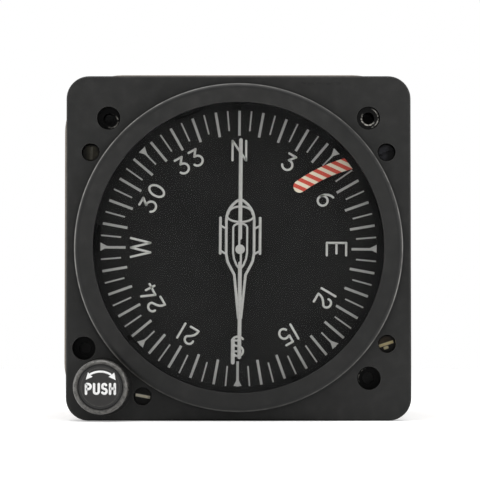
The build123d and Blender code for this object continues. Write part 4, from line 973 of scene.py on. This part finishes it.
# %% Spring tree
def spring_tree():
    tree, given, result = group(
        "coil_spring",
        (("Turns", "Float"), ("Radius", "Float"), ("Wire radius", "Float"), ("Height", "Float"),
         ("Place", "Vector"), ("Front", "Float"), ("Finish", "Material")),
    )
    wire_size = {"Resolution": 10, "Radius": given["Wire radius"]}
    wire = add(tree, "GeometryNodeCurvePrimitiveCircle", wire_size).outputs[0]
    coil = add(
        tree, "GeometryNodeCurveSpiral",
        {"Resolution": 32, "Rotations": given["Turns"], "Start Radius": given["Radius"],
         "End Radius": given["Radius"], "Height": given["Height"]},
    )
    height = part_of(tree, add(tree, "GeometryNodeInputPosition").outputs[0], "Z")
    share = maths(tree, "DIVIDE", height, given["Height"])
    eased = spread(tree, share, 0.10, 0.90, interpolation_type="SMOOTHSTEP")
    rise = product(tree, maths(tree, "SUBTRACT", eased, share), given["Height"], flat_ends)
    change = add(tree, "ShaderNodeCombineXYZ", {"Z": rise}).outputs[0]
    wound = add(tree, "GeometryNodeSetPosition", {"Geometry": coil.outputs["Curve"], "Offset": change})
    drawn = {"Curve": wound.outputs["Geometry"], "Profile Curve": wire, "Fill Caps": True}
    tube = add(tree, "GeometryNodeCurveToMesh", drawn).outputs["Mesh"]
    placed = add(tree, "GeometryNodeTransform", {"Geometry": tube, "Translation": given["Place"]})
    out(tree, placed.outputs["Geometry"], given, result)
    return tree


flat_ends = 0.55
spring_low, spring_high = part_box("knob_spring")
wire_r = 0.25 * MM
coil_r = (spring_high.x - spring_low.x) / 2 - wire_r
coil_height = spring_high.y - spring_low.y - 2 * wire_r
spring = grow(
    "knob_spring_coil", spring_tree(), "housing", Turns=6.5, Radius=coil_r, Wire_radius=wire_r,
    Height=coil_height, Place=(knob_centre.x, knob_centre.z, 0), Front=spring_high.y - wire_r,
    Finish=finishes["steel"],
)
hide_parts("knob_spring")
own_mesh(spring)
print("spring height in mm:", round(coil_height / MM, 2))

# %% [markdown]
# ## Floor, light and camera
# The photograph has a pure white ground, soft light from all round and a long lens a little below the
# dial's axis. A white world and a white floor do that. Two tall soft boxes at the sides light the ring's
# edge, whose thin bright line is also painted in as a highlight, and a large one above gives the ring
# and the knob their top light.

# %% Floor and world
floor_z = cad_low.z
floor_half = 3
floor_mesh = bpy.data.meshes.new("floor")
corners = [(x * floor_half, y * floor_half) for x, y in ((-1, -1), (1, -1), (1, 1), (-1, 1))]
floor_mesh.from_pydata([(x, y, floor_z) for x, y in corners], [], [(0, 1, 2, 3)])
floor = bpy.data.objects.new("floor", floor_mesh)
bpy.context.scene.collection.objects.link(floor)
floor_white, tree, shader, where = finish("floor_white", grey(0.86), 0.9)
shader.inputs["Emission Color"].default_value = (1, 1, 1, 1)
seen = add(tree, "ShaderNodeLightPath").outputs["Is Camera Ray"]
tree.links.new(product(tree, seen, 0.22), shader.inputs["Emission Strength"])
shader.inputs["Specular IOR Level"].default_value = 0.0
floor_mesh.materials.append(floor_white)
world = bpy.data.worlds.new("studio")
bpy.context.scene.world = world
world.use_nodes = True
sky = world.node_tree
ray = add(sky, "ShaderNodeTexCoord").outputs["Generated"]
behind = spread(sky, part_of(sky, ray, "Y"), -0.6, 0.2, 0.5, 1.15)
seen = add(sky, "ShaderNodeLightPath").outputs["Is Camera Ray"]
sky.links.new(between(sky, seen, behind, 1.0), sky.nodes["Background"].inputs["Strength"])
sky.nodes["Background"].inputs["Color"].default_value = (1, 1, 1, 1)
print("floor at", round(floor_z / MM, 1), "mm")

# %% Soft boxes
def soft_box(name, place, size, power):
    """A soft box of metres by metres and so many watts, facing the instrument."""
    light = bpy.data.lights.new(name, "AREA")
    light.shape = "RECTANGLE"
    light.size, light.size_y = size
    light.energy = power
    lamp = bpy.data.objects.new(name, light)
    lamp.location = place
    lamp.rotation_euler = (-Vector(place)).to_track_quat("-Z", "Y").to_euler()
    bpy.context.scene.collection.objects.link(lamp)


soft_box("top_box", (0.0, -0.35, 0.9), (0.9, 0.6), 6.0)
soft_box("left_box", (-0.8, -0.15, 0.1), (0.25, 0.8), 2.6)
soft_box("right_box", (0.7, -0.45, 0.0), (0.25, 0.8), 3.6)
print("three soft boxes")

# %% Camera
distance = 650 * MM
aim = Vector((0.35 * MM, 0, 1.90 * MM))
rise = radians(-2.5)
view_width = 115.9 * MM
sensor_width = 36
camera_data = bpy.data.cameras.new("camera")
camera_data.sensor_width = sensor_width
camera_data.lens = sensor_width * distance / view_width
camera_data.clip_start = 0.05
camera = bpy.data.objects.new("camera", camera_data)
camera.location = aim + distance * Vector((0, -cos(rise), sin(rise)))
camera.rotation_euler = (pi / 2 - rise, 0, 0)
bpy.context.scene.collection.objects.link(camera)
bpy.context.scene.camera = camera
bpy.context.scene.view_settings.view_transform = "Standard"
print("lens:", round(camera_data.lens, 1), "mm")
